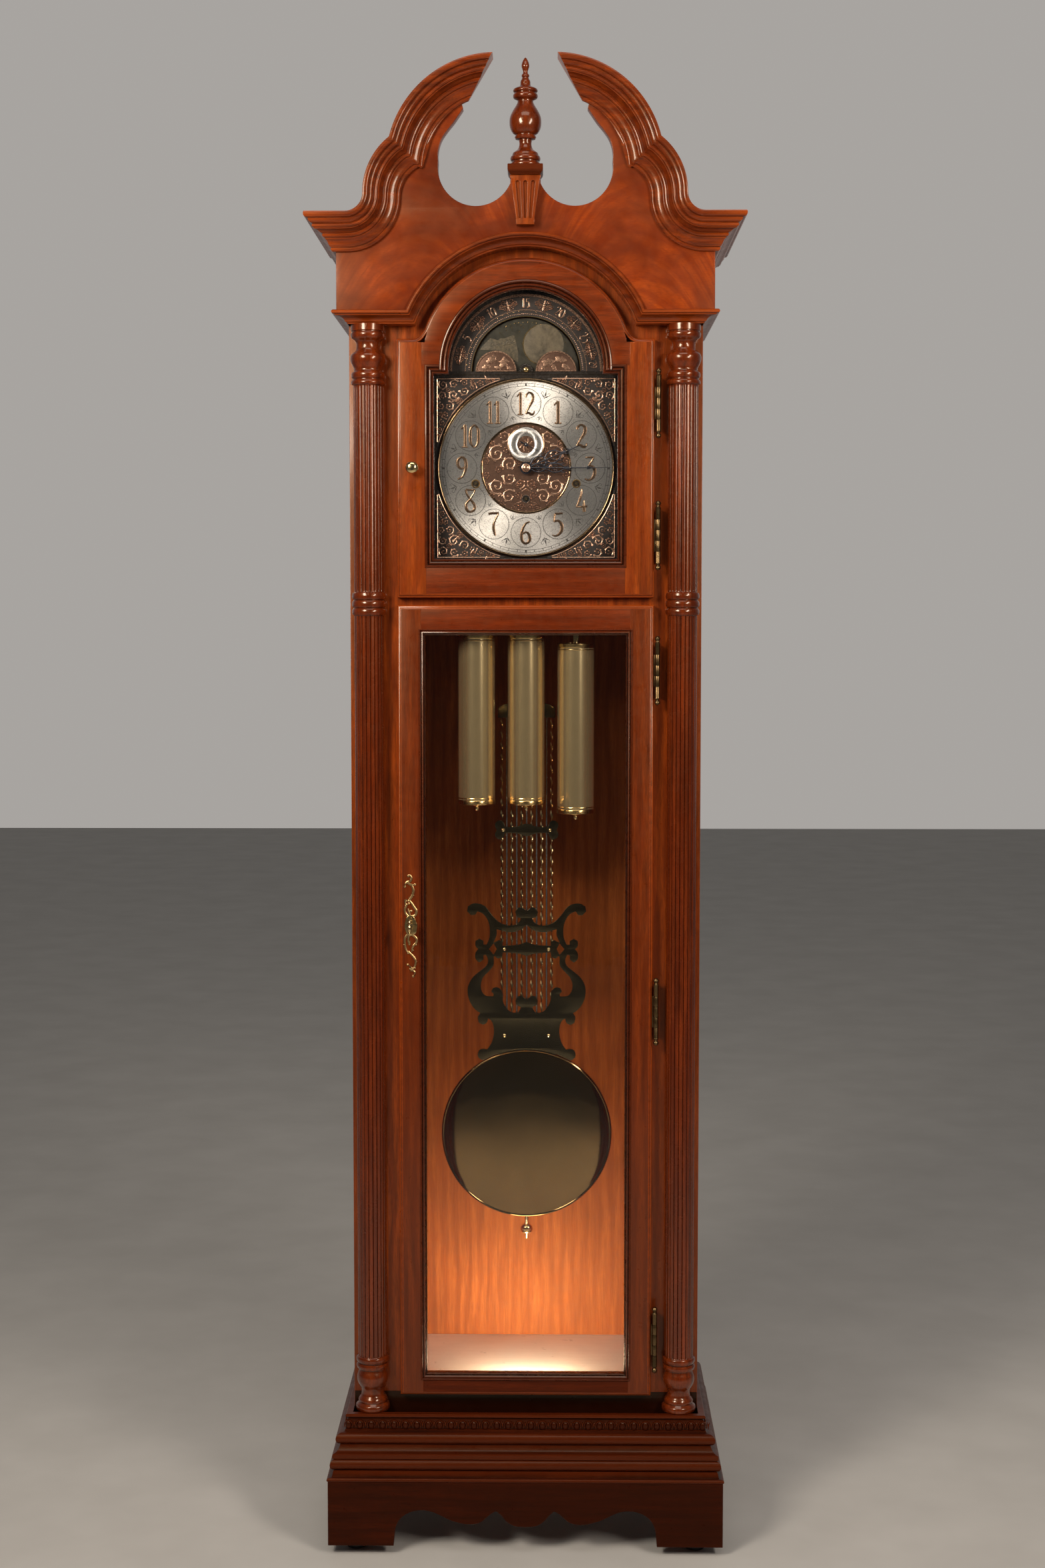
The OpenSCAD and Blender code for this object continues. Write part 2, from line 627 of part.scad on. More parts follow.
module weight(i) {
  x = WX[i];
  z = WZ[i];
  zt = z + weight_len;
  color(gold) {
    translate([x, WY, 0]) rotate_extrude() polygon([[0, z - 10], [3, z - 10], [4, z - 7], [3, z - 4], [6, z - 3.5], [6, z], [weight_r - 1.5, z],
      [weight_r, z + 1.5], [weight_r, z + 6], [weight_r - 0.6, z + 6.6], [weight_r - 0.6, zt - 6.6], [weight_r, zt - 6], [weight_r, zt - 1.5],
      [weight_r - 1.5, zt], [6, zt], [6, zt + 4], [0, zt + 4]]);
    // stirrup that carries the pulley
    box(x - 4, x + 4, WY - 6.5, WY + 6.5, zt + 4, zt + 7);
    for (s = [-1, 1]) translate([0, s * 5.5, 0]) box(x - 4, x + 4, WY - 1, WY + 1, zt + 7, zt + 38);
    rod_y(x, pz(i), 2, WY - 8, WY + 8);
  }
}
module weight_left() { weight(0); }
module weight_center() { weight(1); }
module weight_right() { weight(2); }

module pulley(i) {
  color(gold) translate([WX[i], WY, pz(i)]) rotate([90, 0, 0]) rotate_extrude()
    polygon([[2.05, -3.5], [18.5, -3.5], [18.5, -2.6], [15, -1], [15, 1], [18.5, 2.6], [18.5, 3.5], [2.05, 3.5]]);
}
module pulley_left() { pulley(0); }
module pulley_center() { pulley(1); }
module pulley_right() { pulley(2); }

// Winding line: down from the drum, under the pulley, up to the seat board
module cable(i) {
  x = WX[i];
  color(gold) {
    translate([x - line_r, WY, pz(i)]) cylinder(r = 0.8, h = DZ[i] - pz(i), $fn = 16);
    translate([x + line_r, WY, pz(i)]) cylinder(r = 0.8, h = 1490 - pz(i), $fn = 16);
    translate([x, WY, pz(i)]) rotate([90, 0, 0]) rotate([0, 0, 180]) rotate_extrude(angle = 180, $fn = 64) translate([line_r, 0]) circle(r = 0.8, $fn = 16);
  }
}
module cable_left() { cable(0); }
module cable_center() { cable(1); }
module cable_right() { cable(2); }

module chime_rods() {
  color(steel) {
    difference() {
      union() {
        box(-66, 66, 160, side_y1, 1752, 1776);
        for (s = [-1, 1]) box(s * 68 - 2, s * 68 + 2, 128, side_y1, 1752, 1776);
      }
      rod_x(136, 1764, 2.05, -80, 80);
    }
    for (i = [0 : 7]) translate([-52.5 + 15 * i, 170, 1752 - 250 + 14 * i]) cylinder(r = 1.6, h = 250 - 14 * i, $fn = 24);
  }
}

module chime_hammers() {
  color(gold) {
    rod_x(136, 1764, 2, -70, 70);
    for (i = [0 : 7]) {
      x = -52.5 + 15 * i;
      box(x - 1, x + 1, 135, 137, 1712, 1762.5);
      rod_y(x, 1708, 5, 140, 162);
      box(x - 2, x + 2, 135, 140, 1704, 1712);
    }
  }
}

module levelling_feet() {
  color(dark) pair() for (p = [[262, -128], [262, 163]]) translate([p[0], p[1], 0]) rotate_extrude()
    polygon([[0, 0], [15, 0], [16, 1], [16, 9], [14, 11], [7, 12], [7, foot_h], [0, foot_h]]);
}

module upper_door_frame() {
  color(walnut) slab(door_y0, door_y1) difference() {
    union() {
      difference() {
        translate([-door_hw, 1467.6]) square([2 * door_hw, 1854 - 1467.6]);
        // coved corners beside the arch
        for (s = [-1, 1]) translate([s * (door_arch_r + 5), 1859]) circle(r = 9);
      }
      intersection() {
        translate([0, arch_z]) circle(r = door_arch_r, $fn = 120);
        translate([-200, arch_z]) square([400, 200]);
      }
    }
    upper_opening(138, 1526, 1802, 116);
  }
  color(walnut_dark) slab(door_y0 - 3, door_y0) difference() {
    upper_opening(152, 1512, 1816, 130);
    upper_opening(140, 1524, 1804, 118);
  }
}

module upper_door_glass() {
  color([0.8, 0.87, 0.87, 0.3]) slab(-113, -113 + glass_t) upper_opening(138, 1526, 1802, 116);
}

module upper_door_knob() {
  color(gold) translate([-170, door_y0, 1661.6]) rotate([90, 0, 0]) rotate_extrude()
    polygon([[0, 0], [8, 0], [8, 1.5], [5, 3], [4, 6], [4.5, 9], [8, 12], [9.5, 15.5], [8.5, 19], [5, 21.5], [0, 22]]);
}

module lower_door_frame() {
  color(walnut) difference() {
    slab(door_y0, door_y1) difference() {
      translate([-door_hw, 237]) square([2 * door_hw, 1219]);
      translate([-152, 271]) square([304, 1140]);
    }
    rod_y(-175, 969, 3.5, -140, -100);
    box(-188, -164, -118, -100, 945, 993);
  }
  color(walnut_dark) slab(door_y0 - 3, door_y0) difference() {
    translate([-161, 262]) square([322, 1158]);
    translate([-154, 269]) square([308, 1144]);
  }
}

module lower_door_glass() {
  // flat sheet with a wide bevel on its front
  y1 = -109;
  color([0.8, 0.87, 0.87, 0.3]) intersection() {
    box(-152, 152, -116, y1, 271, 1411);
    linear_extrude(height = 1500) polygon([[-152, y1 - 2.4], [-133, y1 - 5], [133, y1 - 5], [152, y1 - 2.4], [152, y1], [-152, y1]]);
    rotate([90, 0, 90]) linear_extrude(height = 400, center = true)
      polygon([[y1 - 2.4, 271], [y1 - 5, 290], [y1 - 5, 1392], [y1 - 2.4, 1411], [y1, 1411], [y1, 271]]);
  }
}

module escutcheon() {
  color(gold) slab(door_y0 - 2, door_y0) difference() {
    polygon([[-175, 890], [-171, 897], [-173, 904], [-168, 912], [-164.5, 922], [-166, 930], [-162.5, 940], [-161.5, 969], [-162.5, 998],
      [-166, 1008], [-164.5, 1016], [-168, 1026], [-173, 1034], [-171, 1041], [-175, 1047.7], [-179, 1041], [-177, 1034], [-182, 1026],
      [-185.5, 1016], [-184, 1008], [-187.5, 998], [-188.5, 969], [-187.5, 940], [-184, 930], [-185.5, 922], [-182, 912], [-177, 904], [-179, 897]]);
    translate([-175, 969]) circle(r = 3.5);
  }
}

module door_lock() {
  color(steel) difference() {
    box(-188, -164, -118, door_y1, 945, 993);
    rod_y(-175, 969, 2.05, -125, -108);
  }
}

module door_key() {
  color(gold) {
    rod_y(-175, 969, 2, -144, -110);
    rod_y(-175, 969, 3.2, -142, -139);
    translate([-176.2, 0, 969]) rotate([90, 0, 90]) linear_extrude(height = 2.4) difference() {
      union() {
        translate([-152, 0]) circle(r = 9.5);
        for (s = [-1, 1]) translate([-150, s * 8]) circle(r = 5.5);
      }
      translate([-152, 0]) circle(r = 4.6);
      for (s = [-1, 1]) translate([-150, s * 9]) circle(r = 2.2);
    }
  }
}

// Lyre plate outline, right half, from the bud at the top outwards and down
LYRE_OUT = [[0, 975], [7, 981], [13.5, 981], [18, 974], [15.5, 965.5], [9, 964], [12, 958], [19, 953.5], [30.5, 953],
  [43.5, 958], [55, 969], [64, 981.5], [73.5, 986.5], [85, 987.5], [93, 982.5], [94, 975], [88, 968.5], [81.5, 969.5],
  [77.5, 975], [68, 970.5], [61.5, 961], [58.5, 948.5], [58.5, 933.5], [63.5, 922], [68, 922], [68, 927.5], [74.5, 931.5],
  [81, 927.5], [81, 920], [76.5, 914.5], [81, 908.5], [81, 899], [75, 893.5], [68, 898], [68.5, 905], [64.5, 906],
  [61, 897.5], [64, 888], [76, 878], [86, 868.5], [93, 855.5], [93, 842], [89, 828.5], [81.5, 818.5], [73.5, 812.5],
  [77.5, 806], [76, 797.5], [69, 793.5], [63, 797.5], [61, 804], [56, 800], [52.5, 790.5], [52.5, 777.5], [56, 764],
  [62.5, 754.5], [68.5, 755.5], [74, 754], [77.5, 748.5], [77, 742], [71, 737], [62, 735], [0, 735]];
// Opening over the middle bar, opening under it, and the small one at each end of the bar
LYRE_UP = [[0, 953], [8, 946.5], [17, 942.5], [30.5, 942], [47.5, 946.5], [47.5, 937], [51, 928], [52, 925], [50, 926],
  [43.5, 929], [38, 926.5], [38, 920], [13.5, 921.5], [0, 926]];
LYRE_LOW = [[0, 904], [13.5, 908], [38, 909.5], [39, 902], [45.5, 899.5], [51, 904], [52, 901], [52, 889.5], [59, 880],
  [68, 870.5], [72.5, 859], [71, 848], [64.5, 840], [53, 839.5], [52, 843], [56, 847], [53.5, 852.5], [46.5, 854],
  [41, 850], [38.5, 842], [37.5, 832.5], [32.5, 821], [23, 813.5], [13.5, 813.5], [8.5, 822], [11.5, 823.5], [16.5, 826],
  [17.5, 832.5], [13.5, 839.5], [7, 840], [0, 834]];
LYRE_END = [[59.5, 914.5], [52, 923.5], [47.5, 914.5], [52, 906]];

// Small plate across the rods, above the lyre
CROSS_Z = 1104;

module pendulum_lyre() {
  color(gold) {
    slab(1, 3) difference() {
      polygon(concat(LYRE_OUT, mir(LYRE_OUT)));
      polygon(concat(LYRE_UP, mir(LYRE_UP)));
      polygon(concat(LYRE_LOW, mir(LYRE_LOW)));
      polygon(LYRE_END);
      polygon(mir(LYRE_END));
    }
    slab(1, 3) {
      translate([0, CROSS_Z]) polygon([[0, 10.4], [14, 5.7], [36, 4.6], [44, 5], [44, -5], [36, -4.6], [14, -5.7], [0, -10.4],
        [-14, -5.7], [-36, -4.6], [-44, -5], [-44, 5], [-36, 4.6], [-14, 5.7]]);
      for (sx = [-1, 1], sz = [-1, 1]) translate([sx * 42.4, CROSS_Z + sz * 7.4]) circle(r = 7.6);
    }
  }
}

ROD_X = [for (i = [0 : 10]) -39.3 + 7.86 * i];

module pendulum_rods() {
  color(gold) {
    for (i = [0 : 10]) translate([ROD_X[i], 8, 750]) cylinder(r = i % 2 == 0 ? 2 : 1.6, h = 531, $fn = 24);
    // top plate and leader rod up to the suspension
    slab(3.5, 12.5) polygon([[-45, 1281], [45, 1281], [45, 1296.5], [28, 1304], [10, 1309], [-10, 1309], [-28, 1304], [-45, 1296.5]]);
    box(-46, 46, 3, 12.5, 738, 762);
    translate([0, 8, 1307]) cylinder(r = 2.5, h = 399);
    box(-4, 4, 5, 11, 1704, anchor_z - 0.6);
    // spindle with the rating thread, under the bob
    translate([0, 8, 448]) cylinder(r = 3, h = 40);
  }
}

module pendulum_bob() {
  color(gold) translate([0, 8, bob_z]) rotate([90, 0, 0]) rotate_extrude($fn = 120)
    polygon([[0, -6], [bob_r - 14, -6], [bob_r - 2, -3.4], [bob_r, -2], [bob_r, 2], [bob_r - 2, 4], [bob_r - 4, 5], [bob_r * 0.8, 8], [bob_r * 0.5, 11],
      [bob_r * 0.25, 12.2], [0, 12.6]]);
}

module rating_nut() {
  color(gold) difference() {
    translate([0, 8, 0]) rotate_extrude() polygon([[0, 456], [5, 456], [9, 460], [9.5, 465], [8, 469], [5, 471.5], [0, 471.5]]);
    translate([0, 8, 440]) cylinder(r = 3.05, h = 40);
  }
}

side_panels();
back_panel();
floor_board();
face_frame();
base_aprons();
base_moulding();
egg_and_dart_strip();
columns();
pediment_board();
hood_box();
arch_moulding();
swan_necks();
cornice_returns();
keystone();
finial();
seat_board();
interior_lamp();
cord_inlet();
hinge_case_leaves();
dial_plate();
chapter_ring();
dial_castings();
movement_plates();
chime_rods();
levelling_feet();
cable_left();
cable_center();
cable_right();
upper_door_frame();
upper_door_glass();
upper_door_knob();
upper_hinge_leaves();
lower_door_frame();
lower_door_glass();
escutcheon();
door_lock();
lower_hinge_leaves();
door_key();
hour_hand();
minute_hand();
center_wheel();
second_hand();
escape_wheel();
third_wheel();
moon_disc();
pallet_anchor();
drum_left();
drum_center();
drum_right();
weight_left();
weight_center();
weight_right();
pulley_left();
pulley_center();
pulley_right();
pendulum_lyre();
pendulum_rods();
pendulum_bob();
rating_nut();
chime_hammers();
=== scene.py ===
"""Grandfather clock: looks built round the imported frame. Metres; the dial faces -Y."""
import math, json
import bpy, bmesh
import numpy as np
from mathutils import Vector, Matrix, noise

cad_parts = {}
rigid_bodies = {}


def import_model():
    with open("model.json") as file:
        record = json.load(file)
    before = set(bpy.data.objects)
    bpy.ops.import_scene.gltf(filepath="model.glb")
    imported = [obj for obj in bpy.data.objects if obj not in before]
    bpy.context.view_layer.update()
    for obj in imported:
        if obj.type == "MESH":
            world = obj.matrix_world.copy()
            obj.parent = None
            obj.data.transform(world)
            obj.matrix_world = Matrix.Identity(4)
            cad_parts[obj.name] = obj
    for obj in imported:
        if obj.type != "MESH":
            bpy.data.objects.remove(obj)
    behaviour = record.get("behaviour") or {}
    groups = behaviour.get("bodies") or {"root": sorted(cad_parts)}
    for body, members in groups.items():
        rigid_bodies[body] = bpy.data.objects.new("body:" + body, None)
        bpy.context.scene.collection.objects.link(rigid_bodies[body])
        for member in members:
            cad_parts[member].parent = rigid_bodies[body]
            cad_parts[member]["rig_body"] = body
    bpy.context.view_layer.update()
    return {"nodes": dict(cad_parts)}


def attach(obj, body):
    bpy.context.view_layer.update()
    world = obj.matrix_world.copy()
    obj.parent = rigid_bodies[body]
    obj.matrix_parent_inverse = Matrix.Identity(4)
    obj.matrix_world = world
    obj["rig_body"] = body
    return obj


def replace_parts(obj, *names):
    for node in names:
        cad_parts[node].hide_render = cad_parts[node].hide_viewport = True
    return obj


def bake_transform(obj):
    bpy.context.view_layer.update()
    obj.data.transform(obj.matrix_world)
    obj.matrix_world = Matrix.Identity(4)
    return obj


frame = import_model()
N = frame["nodes"]
MM = 0.001
pi = math.pi


# ---------------------------------------------------------------- materials
def mat_new(name):
    m = bpy.data.materials.new(name)
    m.use_nodes = True
    nt = m.node_tree
    b = nt.nodes["Principled BSDF"]
    return m, nt, b


class G:
    """A short way to write node graphs."""
    def __init__(self, nt):
        self.nt = nt

    def n(self, kind, **kw):
        x = self.nt.nodes.new(kind)
        for k, v in kw.items():
            setattr(x, k, v)
        return x

    def link(self, a, b):
        self.nt.links.new(a, b)

    def coords(self, scale=(1, 1, 1), rot=(0, 0, 0), loc=(0, 0, 0)):
        tc = self.n("ShaderNodeTexCoord")
        mp = self.n("ShaderNodeMapping")
        mp.inputs["Scale"].default_value = scale
        mp.inputs["Rotation"].default_value = rot
        mp.inputs["Location"].default_value = loc
        self.link(tc.outputs["Object"], mp.inputs["Vector"])
        return mp.outputs["Vector"]

    def noise(self, vec, scale, detail=4, rough=0.55, dist=0.0):
        x = self.n("ShaderNodeTexNoise")
        x.inputs["Scale"].default_value = scale
        x.inputs["Detail"].default_value = detail
        x.inputs["Roughness"].default_value = rough
        x.inputs["Distortion"].default_value = dist
        self.link(vec, x.inputs["Vector"])
        return x.outputs["Fac"]

    def ramp(self, fac, stops, interp="LINEAR"):
        x = self.n("ShaderNodeValToRGB")
        cr = x.color_ramp
        cr.interpolation = interp
        while len(cr.elements) < len(stops):
            cr.elements.new(0.5)
        for e, (p, c) in zip(cr.elements, stops):
            e.position = p
            e.color = (c, c, c, 1) if isinstance(c, (int, float)) else (*c, 1)
        self.link(fac, x.inputs["Fac"])
        return x.outputs["Color"]

    def mix(self, fac, a, b, mode="MIX"):
        x = self.n("ShaderNodeMix", data_type="RGBA", blend_type=mode)
        for s, v in (("Factor", fac), ("A", a), ("B", b)):
            i = [q for q in x.inputs if q.name == s and (q.type == "RGBA" or s == "Factor")][0]
            if isinstance(v, bpy.types.NodeSocket):
                self.link(v, i)
            elif isinstance(v, (int, float)):
                i.default_value = v
            else:
                i.default_value = (*v, 1)
        return [o for o in x.outputs if o.type == "RGBA"][0]

    def math(self, op, a, b=0.0):
        x = self.n("ShaderNodeMath", operation=op)
        for i, v in enumerate((a, b)):
            if isinstance(v, bpy.types.NodeSocket):
                self.link(v, x.inputs[i])
            else:
                x.inputs[i].default_value = v
        return x.outputs[0]

    def bump(self, h, strength, dist=0.001):
        x = self.n("ShaderNodeBump")
        x.inputs["Strength"].default_value = strength
        x.inputs["Distance"].default_value = dist
        self.link(h, x.inputs["Height"])
        return x.outputs["Normal"]


def wood(name, light, mid, dark, grain="z", figure=0.5, seed=0.0, wear=0.35, coat=0.7, mirror_x=False, rough=0.33, spec=0.3, recess_shade=(0.40, 0.475)):
    """Stained, lacquered cherry: growth figure, fibres, pores and painted shade darkening the concave recesses."""
    m, nt, b = mat_new(name)
    g = G(nt)
    s = {"x": (0.07, 1, 1), "y": (1, 0.07, 1), "z": (1, 1, 0.07)}[grain]
    tc = g.n("ShaderNodeTexCoord")
    src = tc.outputs["Object"]
    if mirror_x:
        sep = g.n("ShaderNodeSeparateXYZ")
        g.link(src, sep.inputs[0])
        ab = g.math("ABSOLUTE", sep.outputs[0])
        cmb = g.n("ShaderNodeCombineXYZ")
        g.link(ab, cmb.inputs[0])
        g.link(sep.outputs[1], cmb.inputs[1])
        g.link(sep.outputs[2], cmb.inputs[2])
        src = cmb.outputs[0]

    def mapped(sc, loc=(0, 0, 0)):
        mp = g.n("ShaderNodeMapping")
        mp.inputs["Scale"].default_value = sc
        mp.inputs["Location"].default_value = (loc[0] + seed, loc[1] + seed * 0.7, loc[2] + seed * 1.3)
        g.link(src, mp.inputs["Vector"])
        return mp.outputs["Vector"]

    # growth figure: bands bent by a slow noise
    fig_s = {"x": (0.35, 1, 1), "y": (1, 0.35, 1), "z": (1, 1, 0.35)}[grain]
    figv = mapped(fig_s)
    w = g.n("ShaderNodeTexWave", wave_type="BANDS", bands_direction={"x": "Z", "y": "X", "z": "X"}[grain])
    w.inputs["Scale"].default_value = 16
    w.inputs["Distortion"].default_value = 9
    w.inputs["Detail"].default_value = 3
    w.inputs["Detail Scale"].default_value = 0.6
    g.link(figv, w.inputs["Vector"])
    fibre = g.noise(mapped(s), 900, 5, 0.6)
    streak = g.noise(mapped(tuple(q * 0.8 if q < 1 else q for q in s)), 130, 4, 0.6, 0.4)
    cloud = g.noise(mapped((1, 1, 0.6)), 7, 3, 0.5, 0.5)
    c1 = g.ramp(w.outputs["Fac"], [(0.15, mid), (0.75, light)])
    c1 = g.mix(figure, mid, c1)
    c2 = g.mix(g.ramp(streak, [(0.35, 0.0), (0.72, 0.75)]), c1, dark)
    c3 = g.mix(g.ramp(fibre, [(0.42, 0.0), (0.7, 0.55)]), c2, dark)
    c4 = g.mix(g.ramp(cloud, [(0.35, 0.0), (0.72, 0.6)]), c3, tuple(q * 0.55 for q in mid))
    # painted shade: colour darkened in the concave recesses, where shade falls
    geo = g.n("ShaderNodeNewGeometry")
    edge = g.ramp(geo.outputs["Pointiness"], [(recess_shade[0], 1.0), (recess_shade[1], 0.0)])
    c5 = g.mix(edge, c4, tuple(q * 0.35 for q in dark))
    worn = g.ramp(geo.outputs["Pointiness"], [(0.53, 0.0), (0.62, wear)])
    c6 = g.mix(worn, c5, light)
    g.link(c6, b.inputs["Base Color"])
    r = g.ramp(g.noise(mapped((1, 1, 1)), 60, 3), [(0.3, rough - 0.06), (0.75, rough + 0.1)])
    g.link(r, b.inputs["Roughness"])
    pores = g.ramp(g.noise(mapped(s), 1500, 3, 0.7), [(0.58, 1.0), (0.68, 0.0)])
    g.link(g.bump(pores, 0.16, 0.0004), b.inputs["Normal"])
    b.inputs["Specular IOR Level"].default_value = spec
    b.inputs["Specular Tint"].default_value = (1.0, 0.72, 0.42, 1)
    b.inputs["Coat Weight"].default_value = coat
    b.inputs["Coat Roughness"].default_value = 0.12
    return m


def metal(name, col, rough=0.2, dark=0.6, scale=40, brush=None, aniso=0.0, tangent=None, tint=None, bump=0.03, vary=1.0):
    """Polished or brushed metal with tarnish clouds, wipe marks and a broken roughness."""
    m, nt, b = mat_new(name)
    g = G(nt)
    v = g.coords()
    cl = g.noise(v, scale, 5, 0.6, 0.2)
    c = g.mix(g.ramp(cl, [(0.35, 0.0), (0.75, 0.5)]), col, tint or tuple(q * dark for q in col))
    geo = g.n("ShaderNodeNewGeometry")
    c = g.mix(g.ramp(geo.outputs["Pointiness"], [(0.42, 0.7), (0.48, 0.0)]), c, tuple(q * 0.25 for q in col))
    g.link(c, b.inputs["Base Color"])
    b.inputs["Metallic"].default_value = 1.0
    bs = brush or (1, 1, 1)
    fine = g.noise(g.coords(scale=bs), 700, 3, 0.6)
    g.link(g.ramp(fine, [(0.3, max(0.02, rough - 0.06 * vary)), (0.7, rough + 0.08 * vary)]), b.inputs["Roughness"])
    if bump:
        g.link(g.bump(fine, bump, 0.0004), b.inputs["Normal"])
    if aniso:
        b.inputs["Anisotropic"].default_value = aniso
        t = g.n("ShaderNodeTangent", direction_type="RADIAL", axis=tangent)
        g.link(t.outputs[0], b.inputs["Tangent"])
    return m


def paint(name, col, rough=0.4, col2=None, scale=90, bump=0.05, coat=0.0, metallic=0.0):
    m, nt, b = mat_new(name)
    g = G(nt)
    v = g.coords()
    n1 = g.noise(v, scale, 5, 0.6)
    g.link(g.mix(g.ramp(n1, [(0.3, 0.0), (0.7, 0.8)]), col, col2 or tuple(min(1, q * 1.6 + 0.01) for q in col)), b.inputs["Base Color"])
    g.link(g.ramp(g.noise(v, scale * 3, 3), [(0.3, rough - 0.05), (0.7, rough + 0.1)]), b.inputs["Roughness"])
    g.link(g.bump(g.noise(v, scale * 8, 2), bump, 0.0004), b.inputs["Normal"])
    b.inputs["Coat Weight"].default_value = coat
    b.inputs["Metallic"].default_value = metallic
    return m


LIGHT = (0.418, 0.07316, 0.007)
MID = (0.2375, 0.03186, 0.0035)
DARK = (0.0475, 0.00708, 0.0016)
W_V = wood("cherry_vertical", (0.285, 0.0472, 0.0048), (0.1568, 0.02242, 0.003), DARK, "z", 0.45, 0.0, coat=0.25, rough=0.42)
W_V2 = wood("cherry_stile", (0.475, 0.0885, 0.0085), (0.285, 0.04248, 0.0045), DARK, "z", 0.5, 3.1, coat=0.35)
W_H = wood("cherry_horizontal", (0.323, 0.04956, 0.0055), (0.1805, 0.0236, 0.003), DARK, "x", 0.4, 1.7, coat=0.35)
W_H2 = wood("cherry_rail", (0.323, 0.04484, 0.0055), (0.1615, 0.02006, 0.003), (0.04275, 0.0059, 0.0015), "x", 0.35, 5.3, coat=0.35)
W_M = wood("cherry_moulding", (0.418, 0.0708, 0.0068), (0.1995, 0.02714, 0.0036), (0.0285, 0.00472, 0.0014), "x", 0.3, 2.2, wear=0.7, coat=0.4, rough=0.32)
W_T = wood("cherry_turned", (0.36, 0.058, 0.0065), (0.16, 0.0215, 0.0032), (0.02, 0.0036, 0.0011), "z", 0.3, 4.4, wear=0.6, coat=0.7, rough=0.24, recess_shade=(0.44, 0.492))
# painted shade: the base woods are darker copies of the case cherry, standing for the shade on the lower case
W_B_SHADE = wood("cherry_base", (0.082, 0.0102, 0.0016), (0.045, 0.0055, 0.0011), (0.0120, 0.0018, 0.0006), "x", 0.3, 6.1, wear=0.4, coat=0.06, spec=0.12)
W_BM_SHADE = wood("cherry_base_moulding", (0.105, 0.0150, 0.0021), (0.048, 0.0064, 0.0012), (0.0100, 0.0017, 0.0006), "x", 0.3, 6.9, wear=0.6, coat=0.14, spec=0.16, recess_shade=(0.43, 0.49))
W_IN = wood("veneer_back", (0.56, 0.165, 0.028), (0.36, 0.088, 0.013), (0.15, 0.030, 0.005), "z", 0.55, 7.7, wear=0.0, coat=0.0, rough=0.6)
# painted shade: darker copies of the stile and rail cherry for the lower door, standing for the shade low on the case
W_V3 = wood("cherry_lower_stile_painted_shade", (0.27, 0.046, 0.0055), (0.155, 0.0225, 0.0033), DARK, "z", 0.5, 12.4, coat=0.35)
W_H3 = wood("cherry_lower_rail_painted_shade", (0.18, 0.025, 0.0036), (0.098, 0.0122, 0.0022), (0.026, 0.0037, 0.0011), "x", 0.35, 13.3, coat=0.1, spec=0.14)
W_GL = wood("cherry_glazing", (0.15, 0.0235, 0.0042), (0.08, 0.0115, 0.0026), (0.018, 0.0028, 0.001), "x", 0.3, 14.2, wear=0.6, coat=0.45, rough=0.28)
W_DK = wood("cherry_shadow", (0.0285, 0.004956, 0.0013), (0.0171, 0.003068, 0.001), (0.0076, 0.001652, 0.0007), "x", 0.3, 11.1, wear=0.2, coat=0.15)
BRASS = metal("brass_polished", (0.86, 0.66, 0.33), 0.16, 0.75)
BRASS_W = metal("brass_weight", (0.95, 0.74, 0.40), 0.15, 0.88, 25, bump=0.0, vary=0.3)
for q in BRASS_W.node_tree.nodes:
    if q.type == "BSDF_PRINCIPLED":
        q.inputs["Metallic"].default_value = 0.86
BRASS_BOB = metal("brass_bob", (0.30, 0.19, 0.08), 0.09, 0.55, 9, bump=0.0, vary=0.15)
BRASS_AGED = metal("brass_aged", (0.55, 0.36, 0.16), 0.3, 0.45, 120, bump=0.12)
BRASS_LYRE = metal("brass_lyre", (0.115, 0.092, 0.05), 0.24, 0.7, 30, bump=0.0, vary=0.2)
BRASS_HINGE = metal("brass_hinge", (0.16, 0.105, 0.05), 0.3, 0.5, 60, bump=0.08)
STEEL = metal("steel_bright", (0.62, 0.62, 0.61), 0.2, 0.7)
BLACK = paint("black_plate", (0.018, 0.015, 0.013), 0.22, (0.035, 0.028, 0.022), 60, 0.03, coat=0.5)
HAND = paint("blued_hand", (0.025, 0.028, 0.04), 0.28, (0.05, 0.055, 0.075), 200, 0.06, coat=0.4, metallic=0.6)
COPPER = metal("copper_casting", (0.68, 0.42, 0.29), 0.27, 0.62, 160, bump=0.1)
RECESS = paint("casting_recess", (0.012, 0.008, 0.006), 0.45, (0.03, 0.018, 0.013), 500, 0.3, metallic=0.2)
COPPER_F = paint("copper_field", (0.085, 0.046, 0.030), 0.36, (0.15, 0.083, 0.056), 500, 0.2, metallic=0.75)
SILVER = metal("silvered_ring", (0.66, 0.645, 0.62), 0.29, 0.94, 60, aniso=0.85, tangent="Y", bump=0.0)
SILVER.node_tree.nodes["Principled BSDF"].inputs["Metallic"].default_value = 0.88
FOOT = paint("rubber_foot", (0.012, 0.012, 0.012), 0.5, (0.03, 0.03, 0.03), 300, 0.3)
INK = paint("engraving_ink", (0.03, 0.028, 0.025), 0.5, (0.08, 0.075, 0.07), 900, 0.1)
BRONZE = metal("bronze_numeral", (0.46, 0.30, 0.19), 0.2, 0.5, 300, bump=0.05)


def glass(name, rough):
    """Clear sheet: only its mirror part and a trace of dust show."""
    m, nt, b = mat_new(name)
    g = G(nt)
    b.inputs["Base Color"].default_value = (0.92, 0.95, 0.94, 1)
    b.inputs["Metallic"].default_value = 1.0
    v = g.coords()
    smear = g.noise(v, 9, 4, 0.6, 0.6)
    g.link(g.ramp(smear, [(0.4, rough), (0.8, rough + 0.05)]), b.inputs["Roughness"])
    fr = g.n("ShaderNodeFresnel")
    fr.inputs["IOR"].default_value = 1.45
    dust = g.ramp(g.noise(v, 260, 3, 0.6), [(0.35, 0.0), (0.8, 0.012)])
    g.link(g.math("ADD", g.math("MULTIPLY", fr.outputs[0], 0.6), dust), b.inputs["Alpha"])
    m.surface_render_method = "DITHERED"
    return m


GLASS = glass("clear_glass", 0.02)


